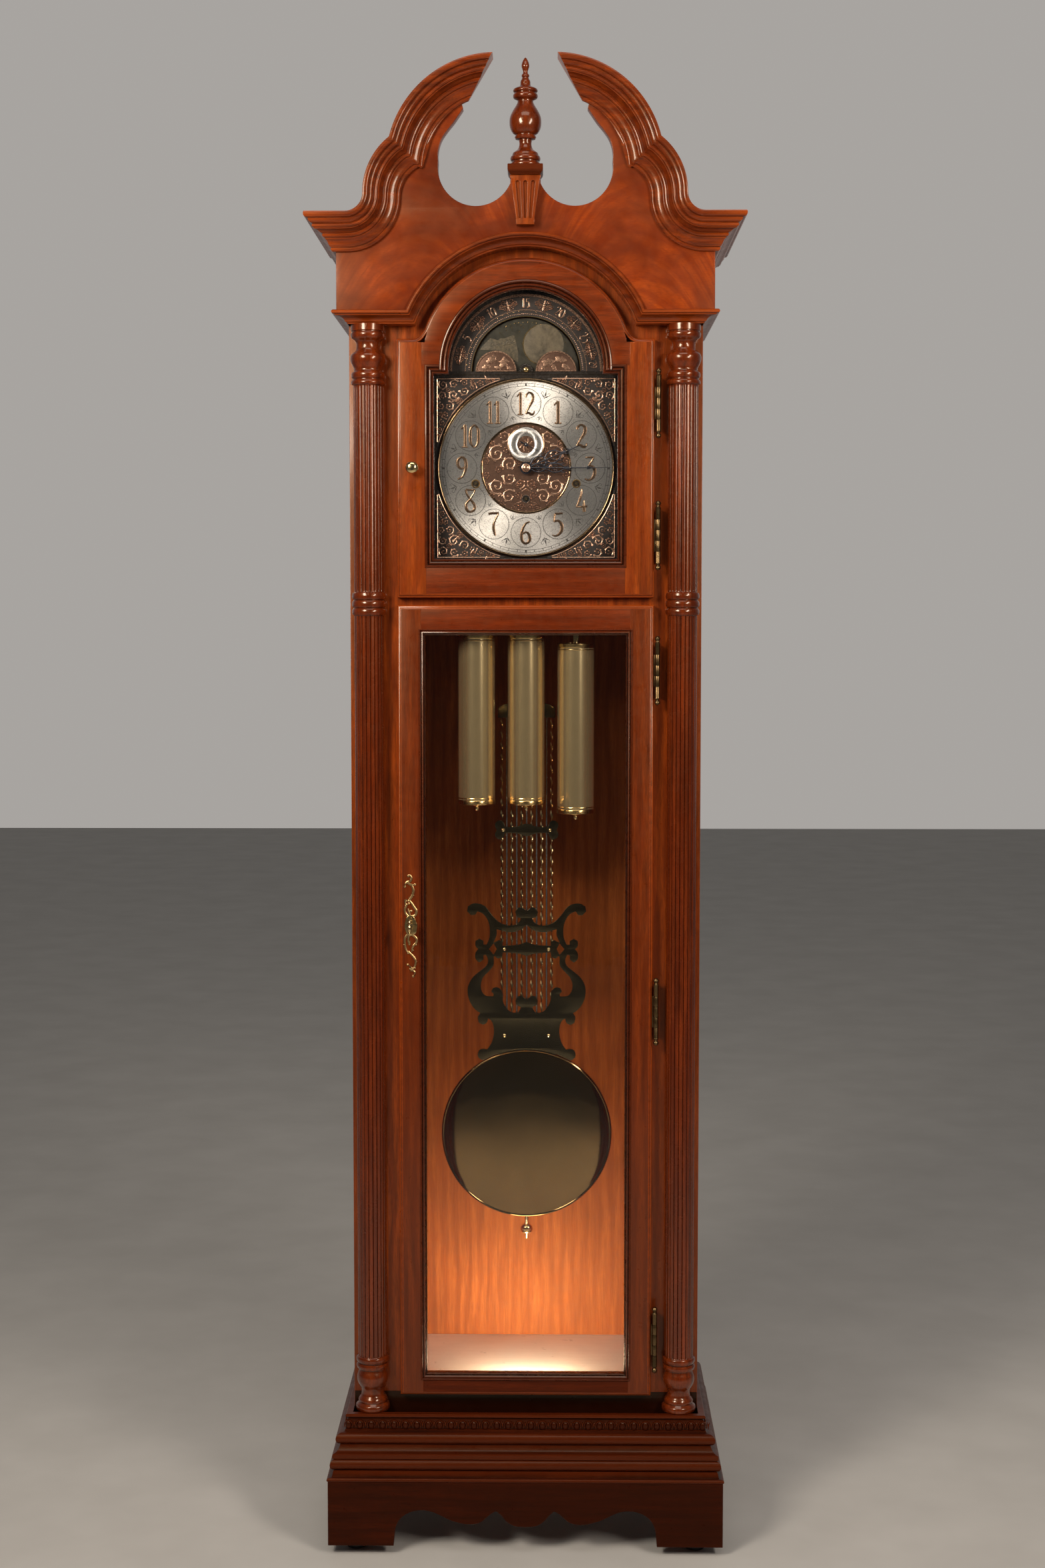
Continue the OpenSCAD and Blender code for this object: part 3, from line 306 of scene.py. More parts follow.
def figured():
    """Book-matched flame veneer of the pediment: cathedral arches either side of the middle, with a cloudy stain."""
    m, nt, b = mat_new("cherry_figured")
    g = G(nt)
    tc = g.n("ShaderNodeTexCoord")
    sep = g.n("ShaderNodeSeparateXYZ")
    g.link(tc.outputs["Object"], sep.inputs[0])
    x, z = sep.outputs[0], sep.outputs[2]
    ax = g.math("ABSOLUTE", x)
    # distance measured from a crown beside and below the arch, stretched along the grain
    u = g.math("SUBTRACT", ax, 0.165)
    uu = g.math("MULTIPLY", g.math("MULTIPLY", u, u), 9.0)
    w = g.math("ADD", g.math("MULTIPLY", z, 1.0), uu)
    cmb = g.n("ShaderNodeCombineXYZ")
    g.link(w, cmb.inputs[0])
    g.link(g.math("MULTIPLY", ax, 0.35), cmb.inputs[1])
    wv = g.n("ShaderNodeTexWave", wave_type="BANDS", bands_direction="X")
    wv.inputs["Scale"].default_value = 9
    wv.inputs["Distortion"].default_value = 9.0
    wv.inputs["Detail"].default_value = 3
    wv.inputs["Detail Scale"].default_value = 2.5
    g.link(cmb.outputs[0], wv.inputs["Vector"])
    vein = g.noise(cmb.outputs[0], 160, 3, 0.6)
    cloud = g.noise(g.coords((1, 1, 1.5)), 9, 4, 0.55, 0.6)
    fibre = g.noise(g.coords((0.12, 1, 1), (0, 0.25, 0)), 900, 4, 0.6)
    c = g.mix(g.ramp(wv.outputs["Fac"], [(0.1, 0.0), (0.9, 0.42)]), (0.25, 0.0325, 0.0033), (0.48, 0.078, 0.006))
    c = g.mix(g.ramp(cloud, [(0.34, 0.0), (0.66, 0.9)]), c, (0.105, 0.0115, 0.0018))
    # dark patches of stain towards the ends and the top
    patch = g.noise(g.coords((1, 1, 1), (0.3, 0, 0.1)), 4.2, 3, 0.5, 0.8)
    c = g.mix(g.ramp(patch, [(0.47, 0.0), (0.66, 0.7)]), c, (0.06, 0.0075, 0.0014))
    c = g.mix(g.ramp(vein, [(0.5, 0.0), (0.72, 0.55)]), c, (0.13, 0.014, 0.0025))
    c = g.mix(g.ramp(fibre, [(0.45, 0.0), (0.7, 0.4)]), c, (0.11, 0.012, 0.0022))
    # painted shade: colour darkened in the concave recesses, where shade falls
    geo = g.n("ShaderNodeNewGeometry")
    c = g.mix(g.ramp(geo.outputs["Pointiness"], [(0.40, 0.8), (0.475, 0.0)]), c, (0.03, 0.006, 0.003))
    g.link(c, b.inputs["Base Color"])
    g.link(g.ramp(g.noise(g.coords(), 45, 3), [(0.3, 0.3), (0.75, 0.46)]), b.inputs["Roughness"])
    g.link(g.bump(g.ramp(fibre, [(0.5, 1.0), (0.7, 0.0)]), 0.12, 0.0004), b.inputs["Normal"])
    b.inputs["Specular IOR Level"].default_value = 0.3
    b.inputs["Specular Tint"].default_value = (1.0, 0.72, 0.42, 1)
    b.inputs["Coat Weight"].default_value = 0.25
    b.inputs["Coat Roughness"].default_value = 0.16
    return m


W_FIG = figured()


# ---------------------------------------------------------------- mesh helpers
def obj_from(name, verts, faces, body, mat, smooth=30, origin=(0, 0, 0)):
    me = bpy.data.meshes.new(name)
    o = Vector(origin)
    me.from_pydata([tuple(Vector(v) - o) for v in verts], [], faces)
    me.validate()
    ob = bpy.data.objects.new(name, me)
    ob.location = o
    bpy.context.scene.collection.objects.link(ob)
    bm = bmesh.new()
    bm.from_mesh(me)
    bmesh.ops.remove_doubles(bm, verts=bm.verts, dist=1e-7)
    bmesh.ops.recalc_face_normals(bm, faces=bm.faces)
    bm.to_mesh(me)
    bm.free()
    finish_mesh(ob, mat, smooth)
    if body:
        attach(ob, body)
    return ob


def finish_mesh(ob, mat, smooth=30):
    me = ob.data
    for p in me.polygons:
        p.use_smooth = True
    me.set_sharp_from_angle(angle=math.radians(smooth))
    me.materials.clear()
    for m in (mat if isinstance(mat, (list, tuple)) else [mat]):
        me.materials.append(m)


def bake_mods(ob):
    dg = bpy.context.evaluated_depsgraph_get()
    dg.update()
    me = bpy.data.meshes.new_from_object(ob.evaluated_get(dg))
    ob.modifiers.clear()
    old = ob.data
    ob.data = me
    return ob


def remake(node, mat, bevel=0.8, segs=2, angle=28, smooth=35, name=None, body=None):
    """A CAD node's mesh with its edges broken, standing for the node."""
    src = N[node]
    me = src.data.copy()
    ob = bpy.data.objects.new(name or node + "_fine", me)
    bpy.context.scene.collection.objects.link(ob)
    bm = bmesh.new()
    bm.from_mesh(me)
    bmesh.ops.remove_doubles(bm, verts=bm.verts, dist=2e-6)
    bm.to_mesh(me)
    bm.free()
    me.attributes.remove(me.attributes["custom_normal"]) if "custom_normal" in me.attributes else None
    if bevel:
        md = ob.modifiers.new("b", "BEVEL")
        md.width = bevel * MM
        md.segments = segs
        md.limit_method = "ANGLE"
        md.angle_limit = math.radians(angle)
        md.use_clamp_overlap = True
        md.miter_outer = "MITER_ARC"
        bake_mods(ob)
    finish_mesh(ob, mat, smooth)
    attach(ob, body or src["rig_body"])
    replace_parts(ob, node)
    return ob


def lathe(name, prof, center, body, mat, axis="z", segs=96, smooth=32, radial=None, replace=None, origin=False):
    """prof: (radius mm, height mm). radial(angle, h) scales the radius."""
    verts, faces = [], []
    n = len(prof)
    c = Vector(center) * MM
    for j in range(segs):
        a = 2 * pi * j / segs
        for r, h in prof:
            if radial:
                r = radial(a, h, r)
            x, y = r * math.cos(a) * MM, r * math.sin(a) * MM
            if axis == "z":
                verts.append(Vector((x, y, h * MM)) + c)
            elif axis == "y":
                verts.append(Vector((x, -h * MM, y)) + c)
            else:
                verts.append(Vector((h * MM, x, y)) + c)
    for j in range(segs):
        k = (j + 1) % segs
        for i in range(n - 1):
            faces.append((j * n + i, k * n + i, k * n + i + 1, j * n + i + 1))
    ob = obj_from(name, verts, faces, body, mat, smooth, tuple(c) if origin else (0, 0, 0))
    if replace:
        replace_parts(ob, replace)
    return ob


def smooth_profile(pts, sub=3, keep=50):
    """Catmull-Rom between points, but corners sharper than keep degrees stay sharp."""
    out = []
    n = len(pts)
    P = [Vector(p) for p in pts]
    for i in range(n - 1):
        p1, p2 = P[i], P[i + 1]
        p0 = P[i - 1] if i > 0 else p1
        p3 = P[i + 2] if i + 2 < n else p2

        def corner(a, b, c):
            u, v = b - a, c - b
            return u.length < 1e-9 or v.length < 1e-9 or u.angle(v, 0) > math.radians(keep)
        t1 = (p2 - p1) if corner(p0, p1, p2) else (p2 - p0) * 0.5
        t2 = (p2 - p1) if corner(p1, p2, p3) else (p3 - p1) * 0.5
        L = (p2 - p1).length
        if t1.length > 1.2 * L:
            t1 = t1.normalized() * 1.2 * L
        if t2.length > 1.2 * L:
            t2 = t2.normalized() * 1.2 * L
        for k in range(sub):
            t = k / sub
            h00, h10 = 2 * t ** 3 - 3 * t ** 2 + 1, t ** 3 - 2 * t ** 2 + t
            h01, h11 = -2 * t ** 3 + 3 * t ** 2, t ** 3 - t ** 2
            out.append(tuple(p1 * h00 + t1 * h10 + p2 * h01 + t2 * h11))
    out.append(tuple(P[-1]))
    return out


def crom(pts, sub=8, closed=False):
    P = [Vector(p) for p in pts]
    n = len(P)
    out = []
    rng = range(n) if closed else range(n - 1)
    for i in rng:
        if closed:
            p0, p1, p2, p3 = P[(i - 1) % n], P[i], P[(i + 1) % n], P[(i + 2) % n]
        else:
            p0, p1, p2, p3 = P[max(i - 1, 0)], P[i], P[i + 1], P[min(i + 2, n - 1)]
        for k in range(sub):
            t = k / sub
            out.append(0.5 * ((2 * p1) + (-p0 + p2) * t + (2 * p0 - 5 * p1 + 4 * p2 - p3) * t * t + (-p0 + 3 * p1 - 3 * p2 + p3) * t ** 3))
    if not closed:
        out.append(P[-1])
    return out


def sweep(name, path, prof, y0, body, mat, closed=False, m0=None, m1=None, smooth=28, cap=True):
    """Sweeps a moulding section along a line in the X-Z plane. prof: (offset to the left of travel, projection to -Y), mm."""
    n = len(path)
    V, F = [], []
    P = [Vector(p) for p in path]
    for i in range(n):
        a = P[i] - P[i - 1] if (closed or i > 0) else P[1] - P[0]
        b = P[(i + 1) % n] - P[i] if (closed or i < n - 1) else P[n - 1] - P[n - 2]
        a.normalize()
        b.normalize()
        na, nb = Vector((-a.y, a.x)), Vector((-b.y, b.x))
        m = na + nb
        m = m.normalized() / max(0.2, m.normalized().dot(na))
        if i == 0 and m0 and not closed:
            m = Vector(m0)
        if i == n - 1 and m1 and not closed:
            m = Vector(m1)
        for off, pr in prof:
            q = P[i] + m * off
            V.append((q.x * MM, (y0 - pr) * MM, q.y * MM))
    k = len(prof)
    for i in range(n if closed else n - 1):
        j = (i + 1) % n
        for s in range(k):
            t = (s + 1) % k
            F.append((i * k + s, j * k + s, j * k + t, i * k + t))
    if cap and not closed:
        F.append(tuple(range(k)))
        F.append(tuple((n - 1) * k + s for s in range(k - 1, -1, -1)))
    return obj_from(name, V, F, body, mat, smooth)


def arc(c, r, a0, a1, n):
    return [(c[0] + r * math.cos(math.radians(a0 + (a1 - a0) * i / n)), c[1] + r * math.sin(math.radians(a0 + (a1 - a0) * i / n))) for i in range(n + 1)]


def plate(name, loops, y0, y1, body, mat, bevel=0.8, smooth=40, res=2):
    """Flat piece with outline loops in X-Z, front at y0 and back at y1, edges broken by bevel."""
    cu = bpy.data.curves.new(name, "CURVE")
    cu.dimensions = "2D"
    cu.fill_mode = "BOTH"
    for lp in loops:
        sp = cu.splines.new("POLY")
        sp.points.add(len(lp) - 1)
        for p, q in zip(sp.points, lp):
            p.co = (q[0] * MM, q[1] * MM, 0, 1)
        sp.use_cyclic_u = True
    th = (y1 - y0) * MM
    bv = min(bevel * MM, th * 0.45)
    cu.extrude = th / 2 - bv
    cu.bevel_depth = bv
    cu.bevel_resolution = res
    cu.offset = -bv
    ob = bpy.data.objects.new(name, cu)
    bpy.context.scene.collection.objects.link(ob)
    dg = bpy.context.evaluated_depsgraph_get()
    me = bpy.data.meshes.new_from_object(ob.evaluated_get(dg))
    bpy.data.objects.remove(ob)
    me.transform(Matrix.Translation((0, (y0 + y1) / 2 * MM, 0)) @ Matrix.Rotation(pi / 2, 4, "X"))
    ob = bpy.data.objects.new(name, me)
    bpy.context.scene.collection.objects.link(ob)
    bm = bmesh.new()
    bm.from_mesh(me)
    bmesh.ops.remove_doubles(bm, verts=bm.verts, dist=1e-6)
    bmesh.ops.recalc_face_normals(bm, faces=bm.faces)
    bm.to_mesh(me)
    bm.free()
    finish_mesh(ob, mat, smooth)
    if body:
        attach(ob, body)
    return ob


class Wires:
    """Gathers tubes, beads and ribbons into one mesh."""
    def __init__(self):
        self.v, self.f = [], []

    def tube(self, pts, radii, sides=6, flat=1.0, base_y=None, up=None):
        """Tube through 3-D points in mm; flat squashes it along Y."""
        P = [Vector(p) for p in pts]
        n = len(P)
        b0 = len(self.v)
        for i in range(n):
            d = (P[min(i + 1, n - 1)] - P[max(i - 1, 0)])
            if d.length < 1e-9:
                d = Vector((0, 0, 1))
            d.normalize()
            u = Vector((0, 1, 0)) if abs(d.y) < 0.9 else Vector((1, 0, 0))
            s = d.cross(u).normalized()
            w = s.cross(d).normalized()
            r = radii[i] if isinstance(radii, (list, tuple)) else radii
            for k in range(sides):
                a = 2 * pi * k / sides
                q = P[i] + s * (r * math.cos(a)) + w * (r * flat * math.sin(a))
                self.v.append(q * MM)
        for i in range(n - 1):
            for k in range(sides):
                l = (k + 1) % sides
                self.f.append((b0 + i * sides + k, b0 + i * sides + l, b0 + (i + 1) * sides + l, b0 + (i + 1) * sides + k))
        self.f.append(tuple(b0 + k for k in range(sides - 1, -1, -1)))
        self.f.append(tuple(b0 + (n - 1) * sides + k for k in range(sides)))

    def bead(self, c, r, flat=1.0, u=8, w=5):
        b0 = len(self.v)
        c = Vector(c)
        for i in range(w + 1):
            th = pi * i / w
            for k in range(u):
                a = 2 * pi * k / u
                self.v.append((c + Vector((r * math.sin(th) * math.cos(a), -r * flat * math.cos(th), r * math.sin(th) * math.sin(a)))) * MM)
        for i in range(w):
            for k in range(u):
                l = (k + 1) % u
                self.f.append((b0 + i * u + k, b0 + i * u + l, b0 + (i + 1) * u + l, b0 + (i + 1) * u + k))

    def ribbon(self, pts, ybase, height, sides=5):
        """Domed stroke on a plane Y = ybase facing -Y. pts: (x, z, width) mm."""
        n = len(pts)
        P = [Vector((p[0], p[1])) for p in pts]
        b0 = len(self.v)
        for i in range(n):
            d = P[min(i + 1, n - 1)] - P[max(i - 1, 0)]
            if d.length < 1e-9:
                d = Vector((0, 1))
            d.normalize()
            nn = Vector((-d.y, d.x))
            w = pts[i][2] / 2
            for k in range(sides):
                a = pi * k / (sides - 1)
                q = P[i] + nn * (w * math.cos(a))
                self.v.append(Vector((q.x, ybase - height * math.sin(a) ** 0.7, q.y)) * MM)
        for i in range(n - 1):
            for k in range(sides - 1):
                self.f.append((b0 + i * sides + k, b0 + (i + 1) * sides + k, b0 + (i + 1) * sides + k + 1, b0 + i * sides + k + 1))
            self.f.append((b0 + i * sides + sides - 1, b0 + (i + 1) * sides + sides - 1, b0 + (i + 1) * sides, b0 + i * sides))
        self.f.append(tuple(b0 + k for k in range(sides)))
        self.f.append(tuple(b0 + (n - 1) * sides + k for k in range(sides - 1, -1, -1)))

    def ring(self, c, r0, r1, y, h=0.0, a0=0, a1=360, n=96):
        """Flat or raised annulus in the plane Y = y."""
        b0 = len(self.v)
        m = n + 1
        for i in range(m):
            a = math.radians(a0 + (a1 - a0) * i / n)
            for r, yy in ((r0, y + 0.15), (r0, y - h), (r1, y - h), (r1, y + 0.15)):
                self.v.append(Vector((c[0] + r * math.cos(a), yy, c[1] + r * math.sin(a))) * MM)
        for i in range(n):
            for k in range(4):
                l = (k + 1) % 4
                self.f.append((b0 + i * 4 + k, b0 + i * 4 + l, b0 + (i + 1) * 4 + l, b0 + (i + 1) * 4 + k))
        if abs(a1 - a0) < 359.9:
            self.f.append((b0, b0 + 1, b0 + 2, b0 + 3))
            self.f.append(tuple(b0 + n * 4 + k for k in (3, 2, 1, 0)))

    def block(self, c, w, h, rot, y, t):
        """Small raised rectangle: centre (x, z), size w by h, turned by rot degrees."""
        b0 = len(self.v)
        cr, sr = math.cos(math.radians(rot)), math.sin(math.radians(rot))
        for yy in (y + 0.15, y - t):
            for sx, sz in ((-1, -1), (1, -1), (1, 1), (-1, 1)):
                x, z = sx * w / 2, sz * h / 2
                self.v.append(Vector((c[0] + x * cr - z * sr, yy, c[1] + x * sr + z * cr)) * MM)
        for q in ((0, 1, 2, 3), (7, 6, 5, 4), (0, 4, 5, 1), (1, 5, 6, 2), (2, 6, 7, 3), (3, 7, 4, 0)):
            self.f.append(tuple(b0 + i for i in q))

    def make(self, name, body, mat, smooth=40, origin=(0, 0, 0)):
        return obj_from(name, self.v, self.f, body, mat, smooth, origin)


def spiral(c, r, rot, turns, hand=1, n=26, tail=0.0, end=0.18):
    """Points of a scroll that starts at radius r and winds in."""
    pts = []
    for i in range(n + 1):
        t = i / n
        rr = r * (1 - t) ** 0.85 * (1 - end) + r * end
        a = math.radians(rot) + hand * 2 * pi * turns * t
        pts.append((c[0] + rr * math.cos(a), c[1] + rr * math.sin(a)))
    return pts


# ---------------------------------------------------------------- camera, light and floor
sc = bpy.context.scene
cd = bpy.data.cameras.new("camera")
cd.sensor_fit = "VERTICAL"
cd.sensor_height = 36
cd.lens = 52
cd.clip_start, cd.clip_end = 0.05, 60
cam = bpy.data.objects.new("camera", cd)
cam.location = (0.04578289, -3.55138969, 1.43388680)
cam.rotation_euler = (math.radians(90 - 4.141544), 0, math.radians(0.843185))
sc.collection.objects.link(cam)
sc.camera = cam


def area(name, loc, target, energy, sx, sy, color=(1, 1, 1)):
    l = bpy.data.lights.new(name, "AREA")
    l.shape = "RECTANGLE"
    l.size, l.size_y = sx, sy
    l.energy = energy
    l.color = color
    o = bpy.data.objects.new(name, l)
    o.location = loc
    o.rotation_euler = (Vector(target) - Vector(loc)).to_track_quat("-Z", "Z").to_euler()
    sc.collection.objects.link(o)
    return o


area("key_left", (-1.35, -2.2, 2.4), (0, 0, 2.15), 60, 0.7, 0.9, (1.0, 0.88, 0.74))
area("fill_right", (1.7, -2.3, 2.2), (0, 0, 1.95), 46, 0.45, 1.3, (1.0, 0.88, 0.76))
area("top_soft", (0.0, -1.9, 4.0), (0, -0.1, 1.8), 26, 2.2, 1.2, (1.0, 0.92, 0.84))
sc.view_settings.view_transform = "Standard"

wd = bpy.data.worlds.new("studio")
sc.world = wd
wd.use_nodes = True
wg = G(wd.node_tree)
wtc = wg.n("ShaderNodeTexCoord")
wsep = wg.n("ShaderNodeSeparateXYZ")
wg.link(wtc.outputs["Generated"], wsep.inputs[0])
wr = wg.ramp(wg.math("MULTIPLY_ADD", wsep.outputs[1], 0.5), [(0.0, 0.05), (0.5, 0.09), (0.72, 0.26), (0.94, 0.56)])
wd.node_tree.nodes["Background"].inputs["Strength"].default_value = 0.7
for nd in wd.node_tree.nodes:
    if nd.bl_idname == "ShaderNodeMath":
        nd.inputs[1].default_value = 0.5
        nd.inputs[2].default_value = 0.5
wg.link(wg.mix(wr, (0.0, 0.0, 0.0), (1.0, 0.95, 0.90)), wd.node_tree.nodes["Background"].inputs["Color"])

fm, fnt, fb = mat_new("studio_floor")
fg = G(fnt)
fb.inputs["Roughness"].default_value = 0.75
fg.link(fg.ramp(fg.noise(fg.coords(), 5, 3), [(0.3, (0.56, 0.55, 0.53)), (0.7, (0.62, 0.61, 0.59))]), fb.inputs["Base Color"])
floor = obj_from("studio_floor", [(-9, -6, 0), (9, -6, 0), (9, 12, 0), (-9, 12, 0)], [(0, 1, 2, 3)], None, fm)


# ---------------------------------------------------------------- woodwork
def setmat(mat, *nodes):
    for n in nodes:
        ob = N[n]
        if not ob.material_slots:
            ob.data.materials.append(mat)
        for s in ob.material_slots:
            s.material = mat


W_Hy = wood("cherry_side_run", (0.36, 0.058, 0.006), (0.18, 0.025, 0.0033), (0.03, 0.004, 0.0014), "y", 0.3, 8.2, wear=0.6, coat=0.3, rough=0.4)
# painted shade: darker side-run copies of the cherry for the base, standing for the shade on the lower case
W_BMy_SHADE = wood("cherry_base_side_run", (0.105, 0.0140, 0.0021), (0.048, 0.0060, 0.0012), (0.010, 0.0016, 0.0006), "y", 0.3, 9.9, wear=0.6, coat=0.14, rough=0.4, spec=0.16, recess_shade=(0.43, 0.49))
W_By_SHADE = wood("cherry_base_side", (0.082, 0.0098, 0.0016), (0.045, 0.0053, 0.0011), (0.012, 0.0018, 0.0006), "y", 0.3, 5.1, wear=0.4, coat=0.06, rough=0.42, spec=0.12)


def runs(name, prof, off, y_back, body, mx, my, node=None, smooth=28, front=True, inner=None):
    """A moulding round the front and both sides, mitred at the corners. prof: closed list of (half width, z)."""
    out = []
    k = len(prof)
    if front:
        V = [(s * h * MM, (off - h) * MM, z * MM) for s in (-1, 1) for h, z in prof]
        F = [(i, (i + 1) % k, k + (i + 1) % k, k + i) for i in range(k)] + [tuple(range(k)), tuple(range(2 * k - 1, k - 1, -1))]
        out.append(obj_from(name + "_front", V, F, body, mx, smooth))
    for s, nm in ((-1, "_left"), (1, "_right")):
        V = [(s * h * MM, (off - h) * MM, z * MM) for h, z in prof] + [(s * h * MM, y_back * MM, z * MM) for h, z in prof]
        F = [(i, (i + 1) % k, k + (i + 1) % k, k + i) for i in range(k)] + [tuple(range(k)), tuple(range(2 * k - 1, k - 1, -1))]
        out.append(obj_from(name + nm, V, F, body, my, smooth))
    if node:
        for o in out:
            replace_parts(o, *([node] if isinstance(node, str) else node))
    return out


def bbox(name, x0, x1, y0, y1, z0, z1, body, mat, bevel=0.8, node=None):
    """A board with its arrises broken."""
    bm = bmesh.new()
    bmesh.ops.create_cube(bm, size=1)
    for v in bm.verts:
        v.co = ((x0 + (v.co.x + 0.5) * (x1 - x0)) * MM, (y0 + (v.co.y + 0.5) * (y1 - y0)) * MM, (z0 + (v.co.z + 0.5) * (z1 - z0)) * MM)
    if bevel:
        bmesh.ops.bevel(bm, geom=bm.edges[:], offset=bevel * MM, segments=2, affect="EDGES", clamp_overlap=True)
    me = bpy.data.meshes.new(name)
    bm.to_mesh(me)
    bm.free()
    ob = bpy.data.objects.new(name, me)
    sc.collection.objects.link(ob)
    finish_mesh(ob, mat, 35)
    if body:
        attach(ob, body)
    if node:
        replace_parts(ob, node)
    return ob


bbox("side_panel_left", -266.5, -248.5, -84, 186.5, 76, 1990, "case", W_V, 1, "side_panels")
bbox("side_panel_right", 248.5, 266.5, -84, 186.5, 76, 1990, "case", W_V, 1, "side_panels")
# painted light: the floor board is coloured near-white, standing for the lamp's glow on it
W_FB_LAMP_GLOW = wood("floor_board_painted_lamp_glow", (0.96, 0.88, 0.77), (0.95, 0.86, 0.74), (0.84, 0.71, 0.57), "x", 0.3, 15.1, coat=0.1)
bbox("floor_board_fine", -248.5, 248.5, -84, 186.5, 216, 234, "case", W_FB_LAMP_GLOW, 0.8, "floor_board")
setmat(W_IN, "back_panel")
remake("seat_board", W_H, 0)
for s_, nm in ((-1, "left"), (1, "right")):
    a, b_ = sorted((s_ * 266.5, s_ * 281.5))
    bbox("hood_side_" + nm, a, b_, -127, 192.5, 1886, 2031, "case", W_V, 0.8, "hood_box")
bbox("hood_top", -266.5, 266.5, -127, 192.5, 1990, 2002, "case", W_H, 0.8, "hood_box")
ang = math.degrees(math.asin((1812 - 1811.7) / 148))
plate_ff = plate("face_frame_fine", [[(-266.5, 76), (266.5, 76), (266.5, 1990), (-266.5, 1990)],
                                     [(-158, 1490), (-158, 1811.7)] + [(-148, 1811.7)] + arc((0, 1811.7), 148, 179, 1, 60) + [(148, 1811.7), (158, 1811.7), (158, 1490)],
                                     [(-172, 243), (-172, 1440), (172, 1440), (172, 243)]], -104, -84, "case", W_V2, 0.6)
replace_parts(plate_ff, "face_frame")

# painted shadow: a thin dark sheet below the lower door, standing for the door's shadow on the face frame
o = bbox("under_door_shadow_sheet", -266, 266, -104.5, -103.9, 178, 236.6, "case", W_DK, 0)

# base apron with its scalloped edge
SC = [(202, 16), (200.8, 30), (199, 43), (194, 55), (185, 64), (174, 69.3), (162, 71.7), (152, 71.4), (142, 69), (130, 63.8), (119, 58.3),
      (109, 54.4), (99, 51.8), (90, 50.3), (81.5, 50.2), (72, 52), (64, 56.3), (54, 65.4), (45, 70.6), (40.5, 67.6), (36, 63.6), (31, 57.3),
      (25, 52), (18, 48.4), (11, 46.8), (0, 46.2)]
fine = [tuple(p) for p in crom(SC, 4)]
ap = plate("base_apron_front", [[(303, 16)] + fine + [(-x, z) for x, z in reversed(fine[:-1])] + [(-303, 16), (-303, 117), (303, 117)]], -171, -153, "case", W_B_SHADE, 1.2)
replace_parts(ap, "base_aprons")
SS = [(-112, 16), (-111, 28), (-108, 40), (-103, 48), (-96, 53.5), (-80, 58.5), (-60, 60), (-40, 57.5), (-20, 53), (5, 49), (30, 47.6), (55, 49),
      (80, 53), (100, 58), (120, 60), (138, 57.5), (150, 51.5), (157, 41), (160, 28), (161, 16)]
sfine = [tuple(p) for p in crom(SS, 4)]
for s, nm in ((1, "right"), (-1, "left")):
    o = plate("base_apron_" + nm, [[(-170.4, 16)] + sfine + [(192.5, 16), (192.5, 117), (-170.4, 117)]], -303, -285, None, W_By_SHADE, 1.2)
    o.data.transform(Matrix(((0, -s, 0, 0), (1, 0, 0, 0), (0, 0, 1, 0), (0, 0, 0, 1))))
    if s < 0:
        o.data.flip_normals()
    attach(o, "case")
    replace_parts(o, "base_aprons")
for s in (-1, 1):
    for j, (ya, yb) in enumerate(((-153, -104), (140, 186.5))):
        o = plate("base_block_%d_%d" % (s + 1, j), [[(s * 240, 16), (s * 285, 16), (s * 285, 60), (s * 240, 60)]], ya, yb, "case", W_B_SHADE, 1.0)
        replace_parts(o, "base_aprons")

roll = lambda cx, cz, r, a0=-90, a1=90, n=14: [(cx + r * math.cos(math.radians(a0 + (a1 - a0) * i / n)), cz + r * math.sin(math.radians(a0 + (a1 - a0) * i / n))) for i in range(n + 1)]
BASE = [(285, 116), (302.2, 116)] + roll(301.6, 119, 2.9, -90, 90, 8) + [(297.2, 122.2), (296.4, 124), (295.6, 128), (294.6, 131.2)] + roll(291.5, 140.5, 8.5) + \
    [(294.8, 149.2), (296, 149.8), (296.3, 153), (296, 156.2), (294.4, 157.2), (292, 158), (289.4, 159.8), (287.2, 162.5), (285.6, 166), (284.6, 169.6)] + \
    roll(283, 178.5, 8.5) + [(280, 187.2), (278.2, 188), (277.8, 190), (275, 190.4), (275, 204.6), (273.6, 205.8), (273.4, 207), (274.4, 208), (276, 208.3),
                            (277, 209.2), (277.2, 211), (276.6, 212.6), (275.4, 213.4), (266.5, 213.4), (266.5, 116)]
runs("base_moulding", BASE, 132, 192.5, "case", W_BM_SHADE, W_BMy_SHADE, "base_moulding")

# egg and dart band
E = Wires()
D = Wires()


